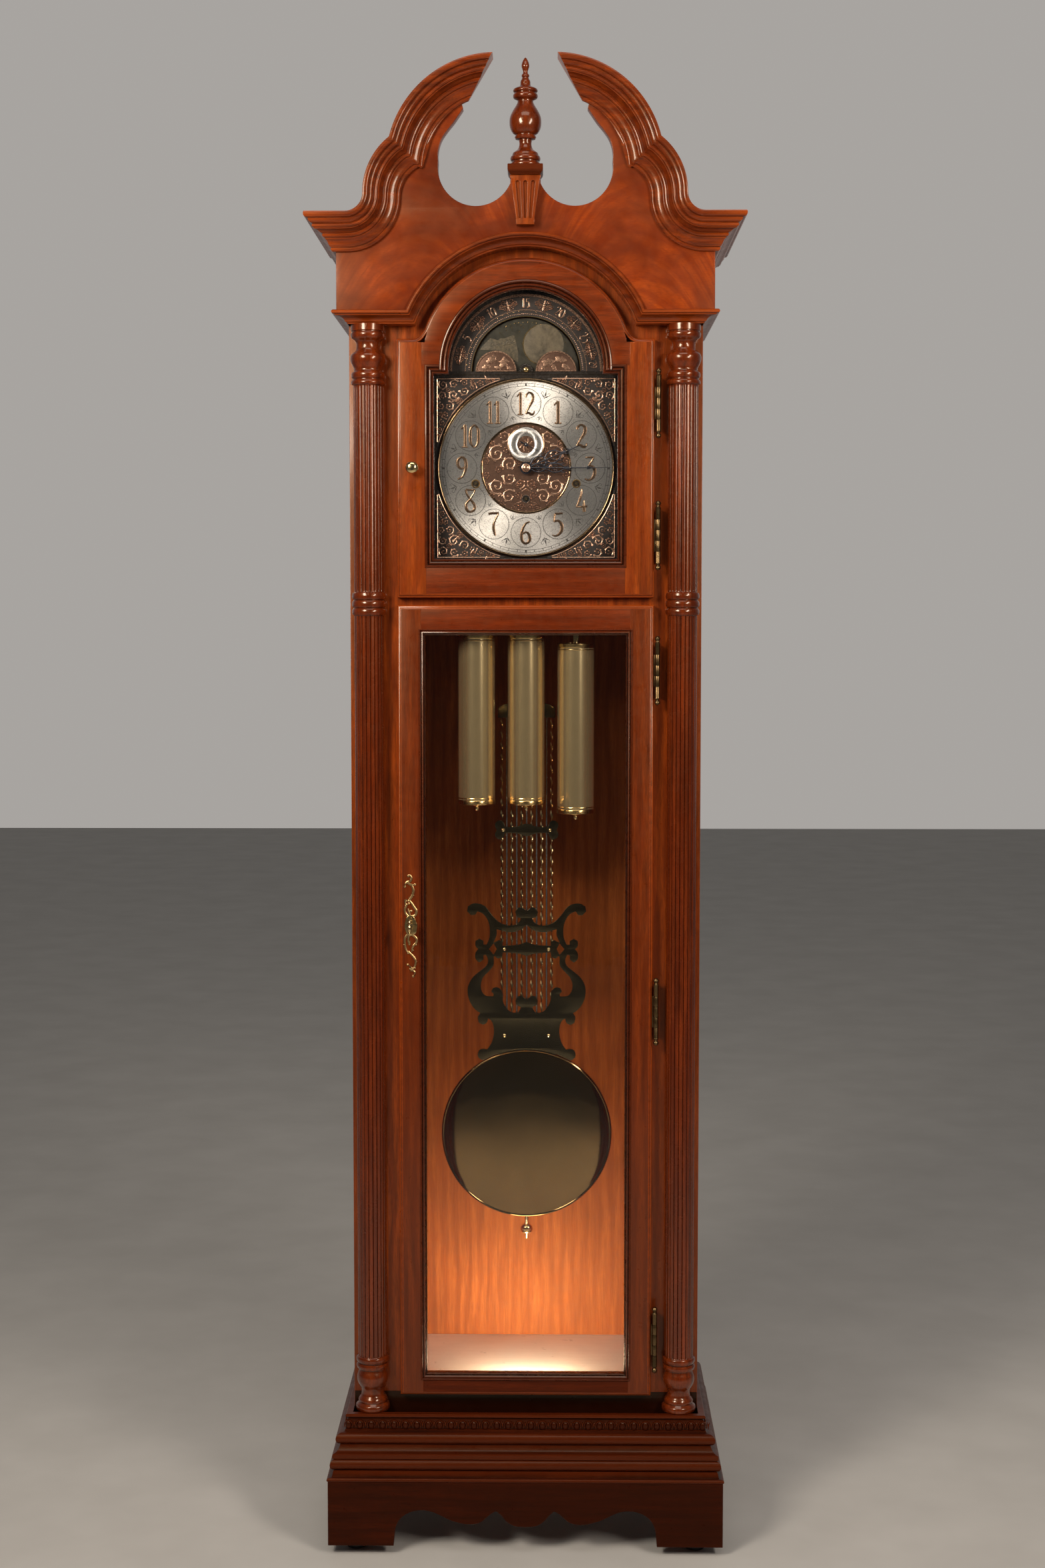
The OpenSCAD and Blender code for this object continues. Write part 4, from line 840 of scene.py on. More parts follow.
def egg(place):
    """place(u, z, out) gives the point at u along the band, height z and projection out."""
    b0 = len(E.v)
    nu, nv = 9, 8
    for i in range(nv + 1):
        t = i / nv
        z = 191.2 + 12.0 * t
        half = 4.7 * math.sqrt(max(0.0, 1 - ((t - 0.36) / 0.66) ** 2)) if t > 0.36 else 4.7 * math.sqrt(max(0.02, 1 - ((t - 0.36) / 0.5) ** 2))
        for j in range(nu):
            a = pi * j / (nu - 1)
            q = 0.4 + 4.0 * math.sin(a) * (half / 4.7) ** 0.7
            E.v.append(Vector(place(-half * math.cos(a), z, q)) * MM)
    for i in range(nv):
        for j in range(nu - 1):
            E.f.append((b0 + i * nu + j, b0 + i * nu + j + 1, b0 + (i + 1) * nu + j + 1, b0 + (i + 1) * nu + j))
    E.f.append(tuple(b0 + j for j in range(nu - 1, -1, -1)))
    E.f.append(tuple(b0 + nv * nu + j for j in range(nu)))
    E.f.append(tuple([b0 + i * nu for i in range(nv + 1)] + [b0 + i * nu + nu - 1 for i in range(nv, -1, -1)]))
    rim = []
    for k in range(11):
        a = pi * (-0.12 + 1.24 * k / 10)
        rim.append(place(6.1 * math.cos(a), 196.2 + 7.4 * max(-0.62, math.sin(a)), 2.3))
    D.tube(rim, 0.95, 6)
    dart = [place(8.8, 191.4, 0.9), place(8.8, 194.5, 1.8), place(8.8, 198.6, 2.4), place(8.8, 201.6, 1.6)]
    D.tube(dart, [0.35, 0.8, 1.5, 0.3], 6)
    for s in (-1, 1):
        D.tube([place(8.8 + s * 1.1, 199.2, 1.6), place(8.8 + s * 1.9, 202.0, 2.2), place(8.8 + s * 1.2, 203.8, 1.9)], [0.4, 0.75, 0.3], 5)


for n in range(-16, 16):
    egg(lambda u, z, o, x=8.8 + 17.6 * n: (x + u, -143 - o, z))
for s in (-1, 1):
    for n in range(19):
        y = -134.2 + 17.2 * n
        egg(lambda u, z, o, y=y, s=s: (s * (275 + o), y + u, z))
flat = lambda zz: [(274.6, zz[0]), (275.6, zz[0]), (276.3, zz[0] + 0.5), (276.3, zz[1] - 0.5), (275.6, zz[1]), (274.6, zz[1])]
eg = E.make("eggs", "case", W_BM_SHADE, 50)
dg_ = D.make("darts", "case", W_BM_SHADE, 60)
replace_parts(eg, "egg_and_dart_strip")
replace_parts(dg_, "egg_and_dart_strip")

# columns: turned ends and reeded shafts
COL = [(0, 213.4), (24.5, 213.4), (26.0, 215), (26.4, 218.5), (25.6, 222), (23.6, 224.2), (22, 226), (22.5, 229.5), (21, 233), (18.4, 237), (17.8, 243), (19, 248),
       (22.2, 254), (24.2, 261), (23.6, 269), (21.5, 275), (21, 278), (21.2, 278.6), (24.2, 279.6), (25.2, 283.5), (24.2, 287), (22.5, 287.8), (22.5, 288.6), (24.4, 289.8), (25.4, 294),
       (24.4, 297.6), (22.8, 298.4)]
MIDB = [(22.8, 1440.8), (24.6, 1441.6), (25.7, 1445.8), (24.8, 1450.4), (23.2, 1451.4), (23.2, 1452.4), (24.8, 1453.6), (25.7, 1458), (24.8, 1462.4), (23.2, 1463.4), (23.2, 1464.4),
        (24.8, 1465.6), (25.7, 1470), (24.8, 1474.4), (22.8, 1475.4)]
TOPB = [(22.8, 1785.2), (24.6, 1786), (25.6, 1788.5), (24.8, 1791.8), (22.8, 1793.4), (22.8, 1794.6), (24.6, 1796.6), (25.2, 1800), (24.6, 1803.4), (21.8, 1806), (21.4, 1810), (23.6, 1815),
        (26.1, 1821), (26.4, 1827), (24.6, 1831.6), (19.6, 1836), (17.7, 1840), (17.6, 1847), (19.5, 1851), (23.6, 1854.2), (25.4, 1857.4), (25.5, 1862), (24.2, 1863.4), (24.2, 1865), (25.5, 1866), (25.5, 1875)]


def shaft(z0, z1):
    hs = [z0 + d for d in (0, 0.6, 1.4, 2.4, 3.6, 5)] + [z0 + 5 + (z1 - z0 - 10) * k / 12 for k in range(1, 12)] + [z1 - d for d in (5, 3.6, 2.4, 1.4, 0.6, 0)]
    return [(22.8, h) for h in hs]


cprof = smooth_profile(COL, 3, 48) + shaft(298.7, 1440.5) + smooth_profile(MIDB, 3, 48) + shaft(1475.7, 1785) + smooth_profile(TOPB, 3, 48)
REEDS = 20


def reed(a, h, r):
    for z0, z1 in ((298.7, 1440.5), (1475.7, 1785.0)):
        if z0 - 1e-6 <= h <= z1 + 1e-6 and abs(r - 22.8) < 1e-6:
            e = min(1.0, min(h - z0, z1 - h) / 5)
            e = math.sqrt(max(0.0, 1 - (1 - e) ** 2))
            u = abs(math.cos(REEDS * a / 2))
            return 22.6 - 2.1 * e * (1 - math.sqrt(max(0.0, 1 - (1 - u) ** 2)) ** 1.0) - (0.35 if e > 0 else 0)
    return r


for s, nm in ((-1, "left"), (1, "right")):
    c = lathe("column_" + nm, cprof, (s * 237, -116, 0), "case", W_T, "z", REEDS * 10, 42, reed)
    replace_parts(c, "columns")

# pediment: board, filler, mouldings, swan necks
A0, B0, C0 = (43, 2096.6), (136, 2057), (264, 2057)
btop = [(281.2, 2030.6)] + arc(C0, 34, -90, -175, 16) + arc(B0, 94, 3, 49, 16) + arc(A0, 153, 18, 66, 18)
scr = [tuple(p) for p in crom([(92, 2187), (97.5, 2179), (106, 2167), (115.6, 2155.3), (123.5, 2143.5), (128, 2131), (129.6, 2119.6)], 4)] + arc((73.5, 2101), 56, 8, -155.8, 34)
half = [(281.2, 1888)] + btop + scr + [(22.4, 2087)]
aa = math.degrees(math.asin(76.3 / 189.5))
hole = arc((0, 1811.7), 189.5, 180 - aa, aa, 60)
pb = plate("pediment_board_fine", [half + [(-x, z) for x, z in reversed(half)] + hole], -149, -127, "case", W_FIG, 0.8, 30)
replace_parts(pb, "pediment_board")
ab = math.degrees(math.asin(76.3 / 177))
pf = plate("pediment_filler", [[(266.5, 1888), (266.5, 1990), (-266.5, 1990), (-266.5, 1888)] + arc((0, 1811.7), 177, 180 - ab, ab, 60)], -127, -104, "case", W_H, 0.5, 30)
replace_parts(pf, "pediment_board")


def sweep_plan(name, path, prof, y0, body, mat, p0=0.0, p1=0.0, m0=None, m1=None, smooth=28):
    """As sweep, with each end carried on along the path by its projection times p0 or p1 (a mitre seen from above)."""
    ob = sweep(name, path, prof, y0, None, mat, False, m0, m1, smooth)
    bpy.data.objects.remove(ob)
    n = len(path)
    V, F = [], []
    P = [Vector(p) for p in path]
    for i in range(n):
        a = P[i] - P[i - 1] if i > 0 else P[1] - P[0]
        b = P[i + 1] - P[i] if i < n - 1 else P[n - 1] - P[n - 2]
        a.normalize()
        b.normalize()
        na, nb = Vector((-a.y, a.x)), Vector((-b.y, b.x))
        m = (na + nb).normalized()
        m = m / max(0.2, m.dot(na))
        if i == 0 and m0:
            m = Vector(m0)
        if i == n - 1 and m1:
            m = Vector(m1)
        for off, pr in prof:
            q = P[i] + m * off
            if i == 0:
                q = q - b * (p0 * pr)
            if i == n - 1:
                q = q + a * (p1 * pr)
            V.append((q.x * MM, (y0 - pr) * MM, q.y * MM))
    k = len(prof)
    for i in range(n - 1):
        for s in range(k):
            t = (s + 1) % k
            F.append((i * k + s, (i + 1) * k + s, (i + 1) * k + t, i * k + t))
    F.append(tuple(range(k)))
    F.append(tuple((n - 1) * k + s for s in range(k - 1, -1, -1)))
    return obj_from(name, V, F, body, mat, smooth)


am = [(-5.6, 0), (-5.6, 4.2), (-5.0, 5.6), (-3.6, 6.6), (-2.0, 6.8), (-0.6, 6.0), (0.2, 4.6), (0.5, 2.6), (0.9, 2.2), (2.0, 2.0), (2.4, 0.5), (2.6, -2.0), (3.4, -5.4), (5.2, -8.8),
      (7.6, -11.2), (10.0, -12.4), (10.6, -13.4), (11.0, -14.6), (12.4, -15), (13, -15.6), (13, -45), (0, -45), (-0.5, -22)]
arch_path = [(281.5, 1888)] + arc((0, 1811.7), 190, aa - 0.08, 180 - aa + 0.08, 72) + [(-281.5, 1888)]
amo = sweep_plan("arch_moulding_fine", arch_path, am, -149, "case", W_M, 1, 1)
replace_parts(amo, "arch_moulding")
for s, nm in ((-1, "left"), (1, "right")):
    V = [(s * (281.5 + p) * MM, (-149 - p) * MM, (1888 - o) * MM) for o, p in am if p > -16] + [(s * 266.6 * MM, -134 * MM, 1875 * MM), (s * 266.6 * MM, -149 * MM, 1893.6 * MM)]
    k = len(V)
    V = V + [(x, 192.5 * MM, z) for x, y, z in V]
    F = [(i, (i + 1) % k, k + (i + 1) % k, k + i) for i in range(k)] + [tuple(range(k)), tuple(range(2 * k - 1, k - 1, -1))]
    o = obj_from("hood_moulding_" + nm, V, F, "case", W_Hy, 28)

CORN = [(0, 0), (0.115, 0.03), (0.16, 0.06), (0.17, 0.11), (0.2, 0.15), (0.26, 0.18), (0.31, 0.24), (0.33, 0.3), (0.375, 0.36), (0.41, 0.42), (0.51, 0.47), (0.58, 0.5),
        (0.64, 0.55), (0.69, 0.58), (0.71, 0.62), (0.71, 0.69), (0.82, 0.72), (0.85, 0.78), (0.88, 0.82), (0.95, 0.86), (1, 0.93), (1, 1)]
# the same section with its fillets, coves and beads drawn out
CF = [(0, 0), (0.1, 0.0), (0.125, 0.02), (0.15, 0.05), (0.155, 0.085), (0.13, 0.1), (0.13, 0.115), (0.165, 0.12), (0.19, 0.15), (0.22, 0.19), (0.245, 0.24), (0.28, 0.29), (0.33, 0.335), (0.335, 0.36),
      (0.375, 0.365), (0.405, 0.39), (0.42, 0.42), (0.405, 0.45), (0.405, 0.465), (0.45, 0.475), (0.5, 0.5), (0.56, 0.535), (0.62, 0.555), (0.67, 0.565), (0.675, 0.59), (0.71, 0.6), (0.735, 0.63),
      (0.735, 0.66), (0.71, 0.69), (0.71, 0.705), (0.76, 0.71), (0.8, 0.73), (0.84, 0.765), (0.86, 0.81), (0.865, 0.835), (0.93, 0.84), (0.975, 0.865), (1, 0.91), (1, 0.965), (0.985, 1.0)]
cf = smooth_profile(CF, 3, 50)
neck = [(-53 * (1 - f), 43.5 * p) for p, f in cf] + [(0, 0)]


def meet(c, r, a, b, lo, hi):
    """Angle at which the circle c, r crosses the line a-b, between lo and hi degrees."""
    best = None
    dx, dz = b[0] - a[0], b[1] - a[1]
    fx, fz = a[0] - c[0], a[1] - c[1]
    qa, qb, qc = dx * dx + dz * dz, 2 * (fx * dx + fz * dz), fx * fx + fz * fz - r * r
    disc = math.sqrt(max(0.0, qb * qb - 4 * qa * qc))
    for t in ((-qb + disc) / 2 / qa, (-qb - disc) / 2 / qa):
        an = math.degrees(math.atan2(fz + dz * t, fx + dx * t)) % 360
        if lo <= an <= hi:
            best = an
    return best if best is not None else (lo + hi) / 2


TIP = ((47.5, 2257.5), (90, 2186))
MIT = ((154, 2099), (198.6, 2137.6))
lines = []
for off, pr in neck:
    ra, rb, rc = 161 + off, 102 + off, 26 - off
    ta = meet(A0, ra, TIP[0], TIP[1], 30, 120)
    tm = meet(A0, ra, MIT[0], MIT[1], 0, 60)
    tb = meet(B0, rb, MIT[0], MIT[1], 20, 90)
    pa = arc(A0, ra, ta, tm, 34)
    pb_ = arc(B0, rb, tb, 0, 22)
    mid = ((pa[-1][0] + pb_[0][0]) / 2, (pa[-1][1] + pb_[0][1]) / 2)
    pc = arc(C0, rc, 180, 270, 14)
    lines.append((pa[:-1] + [mid] + pb_[1:-1] + pc + [(281.5 + pr, 2031 + off)], pr))
V, F = [], []
k, n = len(lines), len(lines[0][0])
for i in range(n):
    for ln, pr in lines:
        V.append((ln[i][0] * MM, (-149 - pr) * MM, ln[i][1] * MM))
for i in range(n - 1):
    for q in range(k):
        t = (q + 1) % k
        F.append((i * k + q, (i + 1) * k + q, (i + 1) * k + t, i * k + t))
F.append(tuple(range(k)))
F.append(tuple((n - 1) * k + q for q in range(k - 1, -1, -1)))
nk = obj_from("swan_neck_right", V, F, "case", W_M, 28)
me = nk.data.copy()
me.transform(Matrix.Scale(-1, 4, (1, 0, 0)))
me.flip_normals()
nk2 = bpy.data.objects.new("swan_neck_left", me)
sc.collection.objects.link(nk2)
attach(nk2, "case")
for o in (nk, nk2):
    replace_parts(o, "swan_necks")
sp = [(281.5 + 43.5 * p, 1978 + 53 * f) for p, f in cf] + [(281.5, 2031), ]
for o in runs("cornice_return", sp, 281.5 - 149, 192.5, "case", W_M, W_Hy, front=False):
    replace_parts(o, "cornice_returns")
ks = [(-13, 2015.5), (13, 2015.5), (14.1, 2023), (13.4, 2023.6), (21.6, 2082.6), (22.4, 2083), (23, 2087), (-23, 2087), (-22.4, 2083), (-21.6, 2082.6), (-13.4, 2023.6), (-14.1, 2023)]
flutes = []
for u in (-1, 0, 1):
    x0, x1 = u * 7.6, u * 11.4
    flutes.append([(x0 - 2.1, 2028.5)] + [(x0 + 2.1 * math.cos(math.radians(a)), 2028.5 - 2.1 + 2.1 * math.sin(math.radians(a))) for a in (200, 235, 270, 305, 340)] + [(x0 + 2.1, 2028.5)] +
                  [(x1 + 3.0 * math.cos(math.radians(a)), 2076 + 3.0 * math.sin(math.radians(a))) for a in (10, 35, 60, 90, 120, 145, 170)])
o = plate("keystone_face", [ks] + flutes, -165, -160, "case", W_V2, 0.6, 35)
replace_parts(o, "keystone")
o = plate("keystone_body", [ks], -161.5, -149, "case", W_V2, 0.3, 35)
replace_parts(o, "keystone")
kc = [(22, 2087.2), (22.4, 2088.4), (23.6, 2088.8), (24, 2090.4), (25.2, 2091.2), (25.6, 2093.6), (26, 2094), (26, 2101.2), (25.2, 2102), (8, 2102), (8, 2087.2)]
# painted shade: the cap takes the darkened base woods, standing for shade on it
for o in runs("keystone_cap", kc, 26 - 173, -124, "case", W_BM_SHADE, W_BMy_SHADE):
    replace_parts(o, "keystone")
FIN = [(0, 2102), (22.2, 2102), (22.6, 2103), (22.4, 2105.4), (21, 2106.6), (19.4, 2107.6), (19.4, 2109), (21.6, 2110.2), (22.4, 2113), (21.4, 2116), (19.6, 2117), (19.4, 2118.4), (18.2, 2121.4),
       (14, 2124.4), (10.6, 2128), (9, 2134), (9.6, 2139.4), (9.6, 2140.4), (14.6, 2141.4), (16, 2144), (14.6, 2146.6), (14.6, 2147.4), (18.8, 2150.4), (22.4, 2157), (23.6, 2165), (22.8, 2173.5), (19, 2182),
       (14, 2190), (11.6, 2195), (11.8, 2197.4), (13.4, 2198.4), (17.4, 2200.6), (18.4, 2204), (17.2, 2206.8), (15.8, 2207.6), (15.8, 2208.6), (17.8, 2210), (18.2, 2212), (16.5, 2214.4), (10, 2217), (7.6, 2220), (7.2, 2225),
       (5.2, 2229), (4.6, 2231), (5.7, 2232.6), (5.4, 2234.6), (4.2, 2236), (3.4, 2239), (4.6, 2243), (5.8, 2247.5), (4.6, 2253), (2.0, 2258), (0, 2260)]
lathe("finial_fine", smooth_profile(FIN, 4, 48), (0, -149, 0), "case", W_T, "z", 80, 40, replace="finial")


# doors: stiles, rails, arched head, glazing mouldings and lipped edges
LIP = [(0, 0), (0, 15.6), (0.4, 17.2), (1.4, 18.3), (2.6, 18.7), (3.2, 18.9), (3.4, 20.2), (4.0, 21.0), (5.0, 21.4), (5.8, 21.45), (6.4, 21.0), (6.4, 0)]


def door(prefix, body, outline, sight, ring, pieces, node):
    o = sweep(prefix + "_edge", outline, LIP, -104.5, body, W_M, True, smooth=30)
    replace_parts(o, node)
    o = sweep(prefix + "_glazing_moulding", sight, ring, -109, body, W_GL, True, smooth=30)
    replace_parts(o, node)
    for nm, lp, mt in pieces:
        o = plate(prefix + nm, [lp], -126, -104.5, body, mt, 0.35, 30)
        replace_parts(o, node)


LR = [(0, 0.5), (0, 10.5), (-0.5, 12), (-1.4, 12.8), (-2.0, 13.0), (-2.2, 14.6), (-2.8, 16.6), (-3.9, 17.6), (-5.0, 17.2), (-5.5, 15.8), (-5.9, 15.8), (-6.3, 17.8), (-7.2, 19.4), (-8.3, 19.6), (-9.1, 18.4), (-9.4, 16.6), (-9.4, 6), (-4, 0.5)]
door("lower_door", "lower_door", [(-193.5, 237), (193.5, 237), (193.5, 1456), (-193.5, 1456)],
     [(-152, 271), (152, 271), (152, 1411), (-152, 1411)], LR,
     [("_stile_left", [(-188, 242.5), (-158, 242.5), (-158, 1450.5), (-188, 1450.5)], W_V3),
      ("_stile_right", [(158, 242.5), (188, 242.5), (188, 1450.5), (158, 1450.5)], W_V3),
      ("_rail_bottom", [(-158, 242.5), (158, 242.5), (158, 266), (-158, 266)], W_H3),
      ("_rail_top", [(-158, 1416), (158, 1416), (158, 1450.5), (-158, 1450.5)], W_H2)], "lower_door_frame")
UR = [(0, 0.5), (0, 9.5), (-0.5, 11.2), (-1.6, 12.3), (-2.8, 12.4), (-3.4, 11.4), (-3.8, 11.4), (-4.1, 13.4), (-5.0, 15.0), (-6.4, 15.6), (-7.6, 15.0), (-8.1, 13.8), (-8.5, 13.8), (-8.9, 16.0),
      (-9.8, 18.0), (-11.2, 19.0), (-12.6, 18.6), (-13.4, 17.6), (-13.9, 17.2), (-14.2, 16.4), (-14.2, 6), (-6, 0.5)]
az = math.degrees(math.asin(9.7 / 116))
us = [(-138, 1526), (138, 1526), (138, 1802), (116 * math.cos(math.radians(az)), 1802)] + arc((0, 1811.7), 116, -az + 3, 180 + az - 3, 64) + [(-116 * math.cos(math.radians(az)), 1802), (-138, 1802)]
cove = [(170, 1854), (165.5, 1854.6), (161.5, 1856.6), (158.2, 1859.6), (155.6, 1863.2)]
uo = [(-193.5, 1467.6), (193.5, 1467.6), (193.5, 1854)] + cove + arc((0, 1811.7), 162, 20.5, 159.5, 60) + [(-x, z) for x, z in reversed(cove)] + [(-193.5, 1854)]
hd = [(156, 1814), (156, 1848.5), (151.2, 1848.5)] + arc((0, 1811.7), 156.2, 15.5, 164.5, 56) + [(-151.2, 1848.5), (-156, 1848.5), (-156, 1814), (-128.4, 1814)] + arc((0, 1811.7), 128.4, 178, 2, 60) + [(128.4, 1814)]
door("upper_door", "upper_door", uo, us, UR,
     [("_stile_left", [(-188, 1473), (-150, 1473), (-150, 1814), (-156, 1814), (-156, 1848.5), (-188, 1848.5)], W_V2),
      ("_stile_right", [(188, 1473), (150, 1473), (150, 1814), (156, 1814), (156, 1848.5), (188, 1848.5)], W_V2),
      ("_rail_bottom", [(-150, 1473), (150, 1473), (150, 1516), (-150, 1516)], W_H2),
      ("_head", hd, W_H)], "upper_door_frame")
setmat(GLASS, "upper_door_glass", "lower_door_glass")

# ---------------------------------------------------------------- dial
def B(n):
    return N[n]["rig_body"]


GILT = metal("gilt_trim", (0.78, 0.55, 0.24), 0.2, 0.6, 200, bump=0.06)
DARKRING = metal("brass_dark_bezel", (0.30, 0.20, 0.11), 0.16, 0.6, 60)
SILVER_D = metal("silver_disc", (0.64, 0.625, 0.60), 0.29, 0.94, 60, aniso=0.85, tangent="Y", bump=0.0)
SILVER_D.node_tree.nodes["Principled BSDF"].inputs["Metallic"].default_value = 0.88
BRONZE_E = metal("bronze_numeral_edge", (0.16, 0.10, 0.065), 0.3, 0.6, 300, bump=0.05)
OLIVE = paint("moon_sky", (0.016, 0.015, 0.009), 0.35, (0.045, 0.040, 0.022), 60, 0.04, coat=0.2)
LANDA = paint("moon_land", (0.030, 0.026, 0.014), 0.45, (0.15, 0.115, 0.062), 320, 0.15)
DIAL = 1664.0
SEC = 1699.7
MOON = 1810.0

DIG = {
    "1": [[(.05, .80, .05), (.16, .90, .06), (.24, .97, .11)], [(.24, .98, .13), (.24, .5, .13), (.24, .02, .13)], [(.08, .02, .05), (.24, .02, .06), (.4, .02, .05)]],
    "2": [[(.08, .78, .10), (.1, .88, .09), (.26, .98, .07), (.44, .86, .12), (.42, .62, .13), (.22, .32, .09), (.05, .06, .06)], [(.05, .05, .06), (.2, .1, .09), (.38, .02, .11), (.5, .08, .06), (.52, .18, .04)]],
    "3": [[(.06, .96, .05), (.2, .97, .06), (.46, .97, .06)], [(.46, .96, .05), (.34, .79, .06), (.22, .62, .07)], [(.2, .6, .07), (.38, .58, .10), (.5, .4, .13), (.44, .12, .12), (.22, -.02, .07), (.04, .04, .05)]],
    "4": [[(.3, 1, .05), (.26, .7, .09), (.1, .3, .08), (.03, .22, .05)], [(.03, .22, .05), (.3, .22, .06), (.55, .24, .07)], [(.4, .5, .05), (.4, .2, .11), (.42, 0, .12)]],
    "5": [[(.5, .97, .06), (.3, .95, .07), (.14, .95, .08)], [(.14, .95, .07), (.12, .8, .07), (.1, .6, .07)], [(.1, .6, .06), (.3, .64, .08), (.46, .45, .13), (.42, .15, .12), (.2, -.02, .07), (.02, .02, .04)]],
    "6": [[(.46, .98, .05), (.24, .86, .08), (.08, .5, .12), (.1, .16, .12), (.26, .02, .08), (.44, .14, .12), (.44, .38, .12), (.28, .52, .07), (.1, .42, .06)]],
    "7": [[(.02, .94, .09), (.2, .97, .09), (.5, .97, .08)], [(.5, .97, .05), (.3, .6, .08), (.26, .3, .12), (.34, 0, .07)]],
    "8": [[(.26, .55, .08), (.08, .35, .1), (.1, .1, .11), (.27, 0, .08), (.46, .12, .11), (.44, .34, .1), (.26, .56, .08), (.1, .8, .07), (.06, .97, .07)], [(.06, .97, .08), (.28, .96, .06), (.5, .97, .06)], [(.5, .97, .05), (.4, .77, .06), (.26, .55, .07)]],
    "0": [[(.28, .99, .06), (.08, .8, .12), (.05, .5, .14), (.08, .2, .12), (.28, .01, .06), (.47, .2, .12), (.5, .5, .14), (.47, .8, .12), (.28, .99, .06)]],
}
DIG["9"] = [[(0.54 - x, 1 - y, w) for x, y, w in s_] for s_ in DIG["6"]]


def number(W, txt, c, height, y, h, rot=0.0, squeeze=1.0, grow=0.0, sub=6, weight=1.0):
    """Draws figures with swelling strokes. rot turns them clockwise (degrees)."""
    adv = {"1": 0.42}
    widths = [adv.get(ch, 0.60) for ch in txt]
    x0 = -sum(widths) / 2
    cr, sr = math.cos(math.radians(-rot)), math.sin(math.radians(-rot))
    k = height * 0.94 * squeeze
    for ch, wd_ in zip(txt, widths):
        mid = 0.24 if ch == "1" else 0.28
        for st in DIG[ch]:
            pts = []
            for p in crom([Vector(q) for q in st], sub):
                lx = (x0 + wd_ / 2 + p.x - mid) * k
                lz = (p.y - 0.5) * height
                pts.append((c[0] + lx * cr - lz * sr, c[1] + lx * sr + lz * cr, max(p.z, 0.03) * k * weight + grow))
            W.ribbon(pts, y, h, 5)
        x0 += wd_


def leaf(W, c, ang, ln, w, y, h, bend=0.0):
    pts = []
    for i in range(7):
        t = i / 6
        a = math.radians(ang + bend * t)
        pts.append((c[0] + ln * t * math.cos(a), c[1] + ln * t * math.sin(a), w * math.sin(pi * min(1, t * 0.86 + 0.12)) + 0.12))
    W.ribbon(pts, y, h, 5)


def scroll(W, x, z, r, rot, hand, y, h=1.0, turns=1.35, w=None, shade_outline=None):
    """A leafy scroll: the winding stem, its eye and the leaves springing from its back, with an optional wider dark
    copy beneath as painted shade round the raised scroll.
    """
    w = w or r * 0.27
    sp = spiral((x, z), r * 0.92, rot, turns, hand, 24, end=0.14)
    n = len(sp)
    if shade_outline:
        shade_outline.ribbon([(p[0], p[1], w * (1 - 0.45 * i / n) + 1.5) for i, p in enumerate(sp)], y + 0.15, 0.3, 4)
    W.ribbon([(p[0], p[1], w * (1 - 0.5 * i / n)) for i, p in enumerate(sp)], y, h, 6)
    W.bead((sp[-1][0], y, sp[-1][1]), w * 0.62, 0.7, 7, 4)
    for k in range(6):
        i = int(n * (0.03 + 0.12 * k))
        p = sp[i]
        a = math.degrees(math.atan2(p[1] - z, p[0] - x))
        ln = r * (0.46 - 0.045 * k)
        if shade_outline:
            leaf(shade_outline, p, a + hand * 38, ln + 0.9, w * 0.95 + 1.2, y + 0.12, 0.25, hand * 40)
        leaf(W, p, a + hand * 38, ln, w * 0.95, y, h * 0.85, hand * 40)


def sprig(W, c, rot, s, y, h=0.22):
    def T(u, v):
        a = math.radians(rot)
        return c[0] + s * (u * math.cos(a) - v * math.sin(a)), c[1] + s * (u * math.sin(a) + v * math.cos(a))
    for sg in (-1, 1):
        pts = [(0, -4), (1.2, -1.6), (3.6, -0.4), (5.2, 1.2), (4.6, 3.0), (3.0, 2.9), (2.9, 1.6)]
        q = crom([Vector((sg * a, b, 0.7 - 0.06 * i)) for i, (a, b) in enumerate(pts)], 4)
        W.ribbon([(*T(p.x, p.y), p.z * s) for p in q], y, h, 4)
        leaf(W, T(sg * 0.8, -2.6), rot + (20 if sg > 0 else 160), 3.4 * s, 1.2 * s, y, h, sg * 30)
    leaf(W, T(0, -1.6), rot + 90, 5.6 * s, 1.8 * s, y, h)
    W.bead((*[T(0, 5.2)[0], y, T(0, 5.2)[1]],), 0.6 * s, 0.5, 6, 4)


def disc(W, c, r, y, t, n=64):
    W.ring(c, 0.01, r, y, t, 0, 360, n)


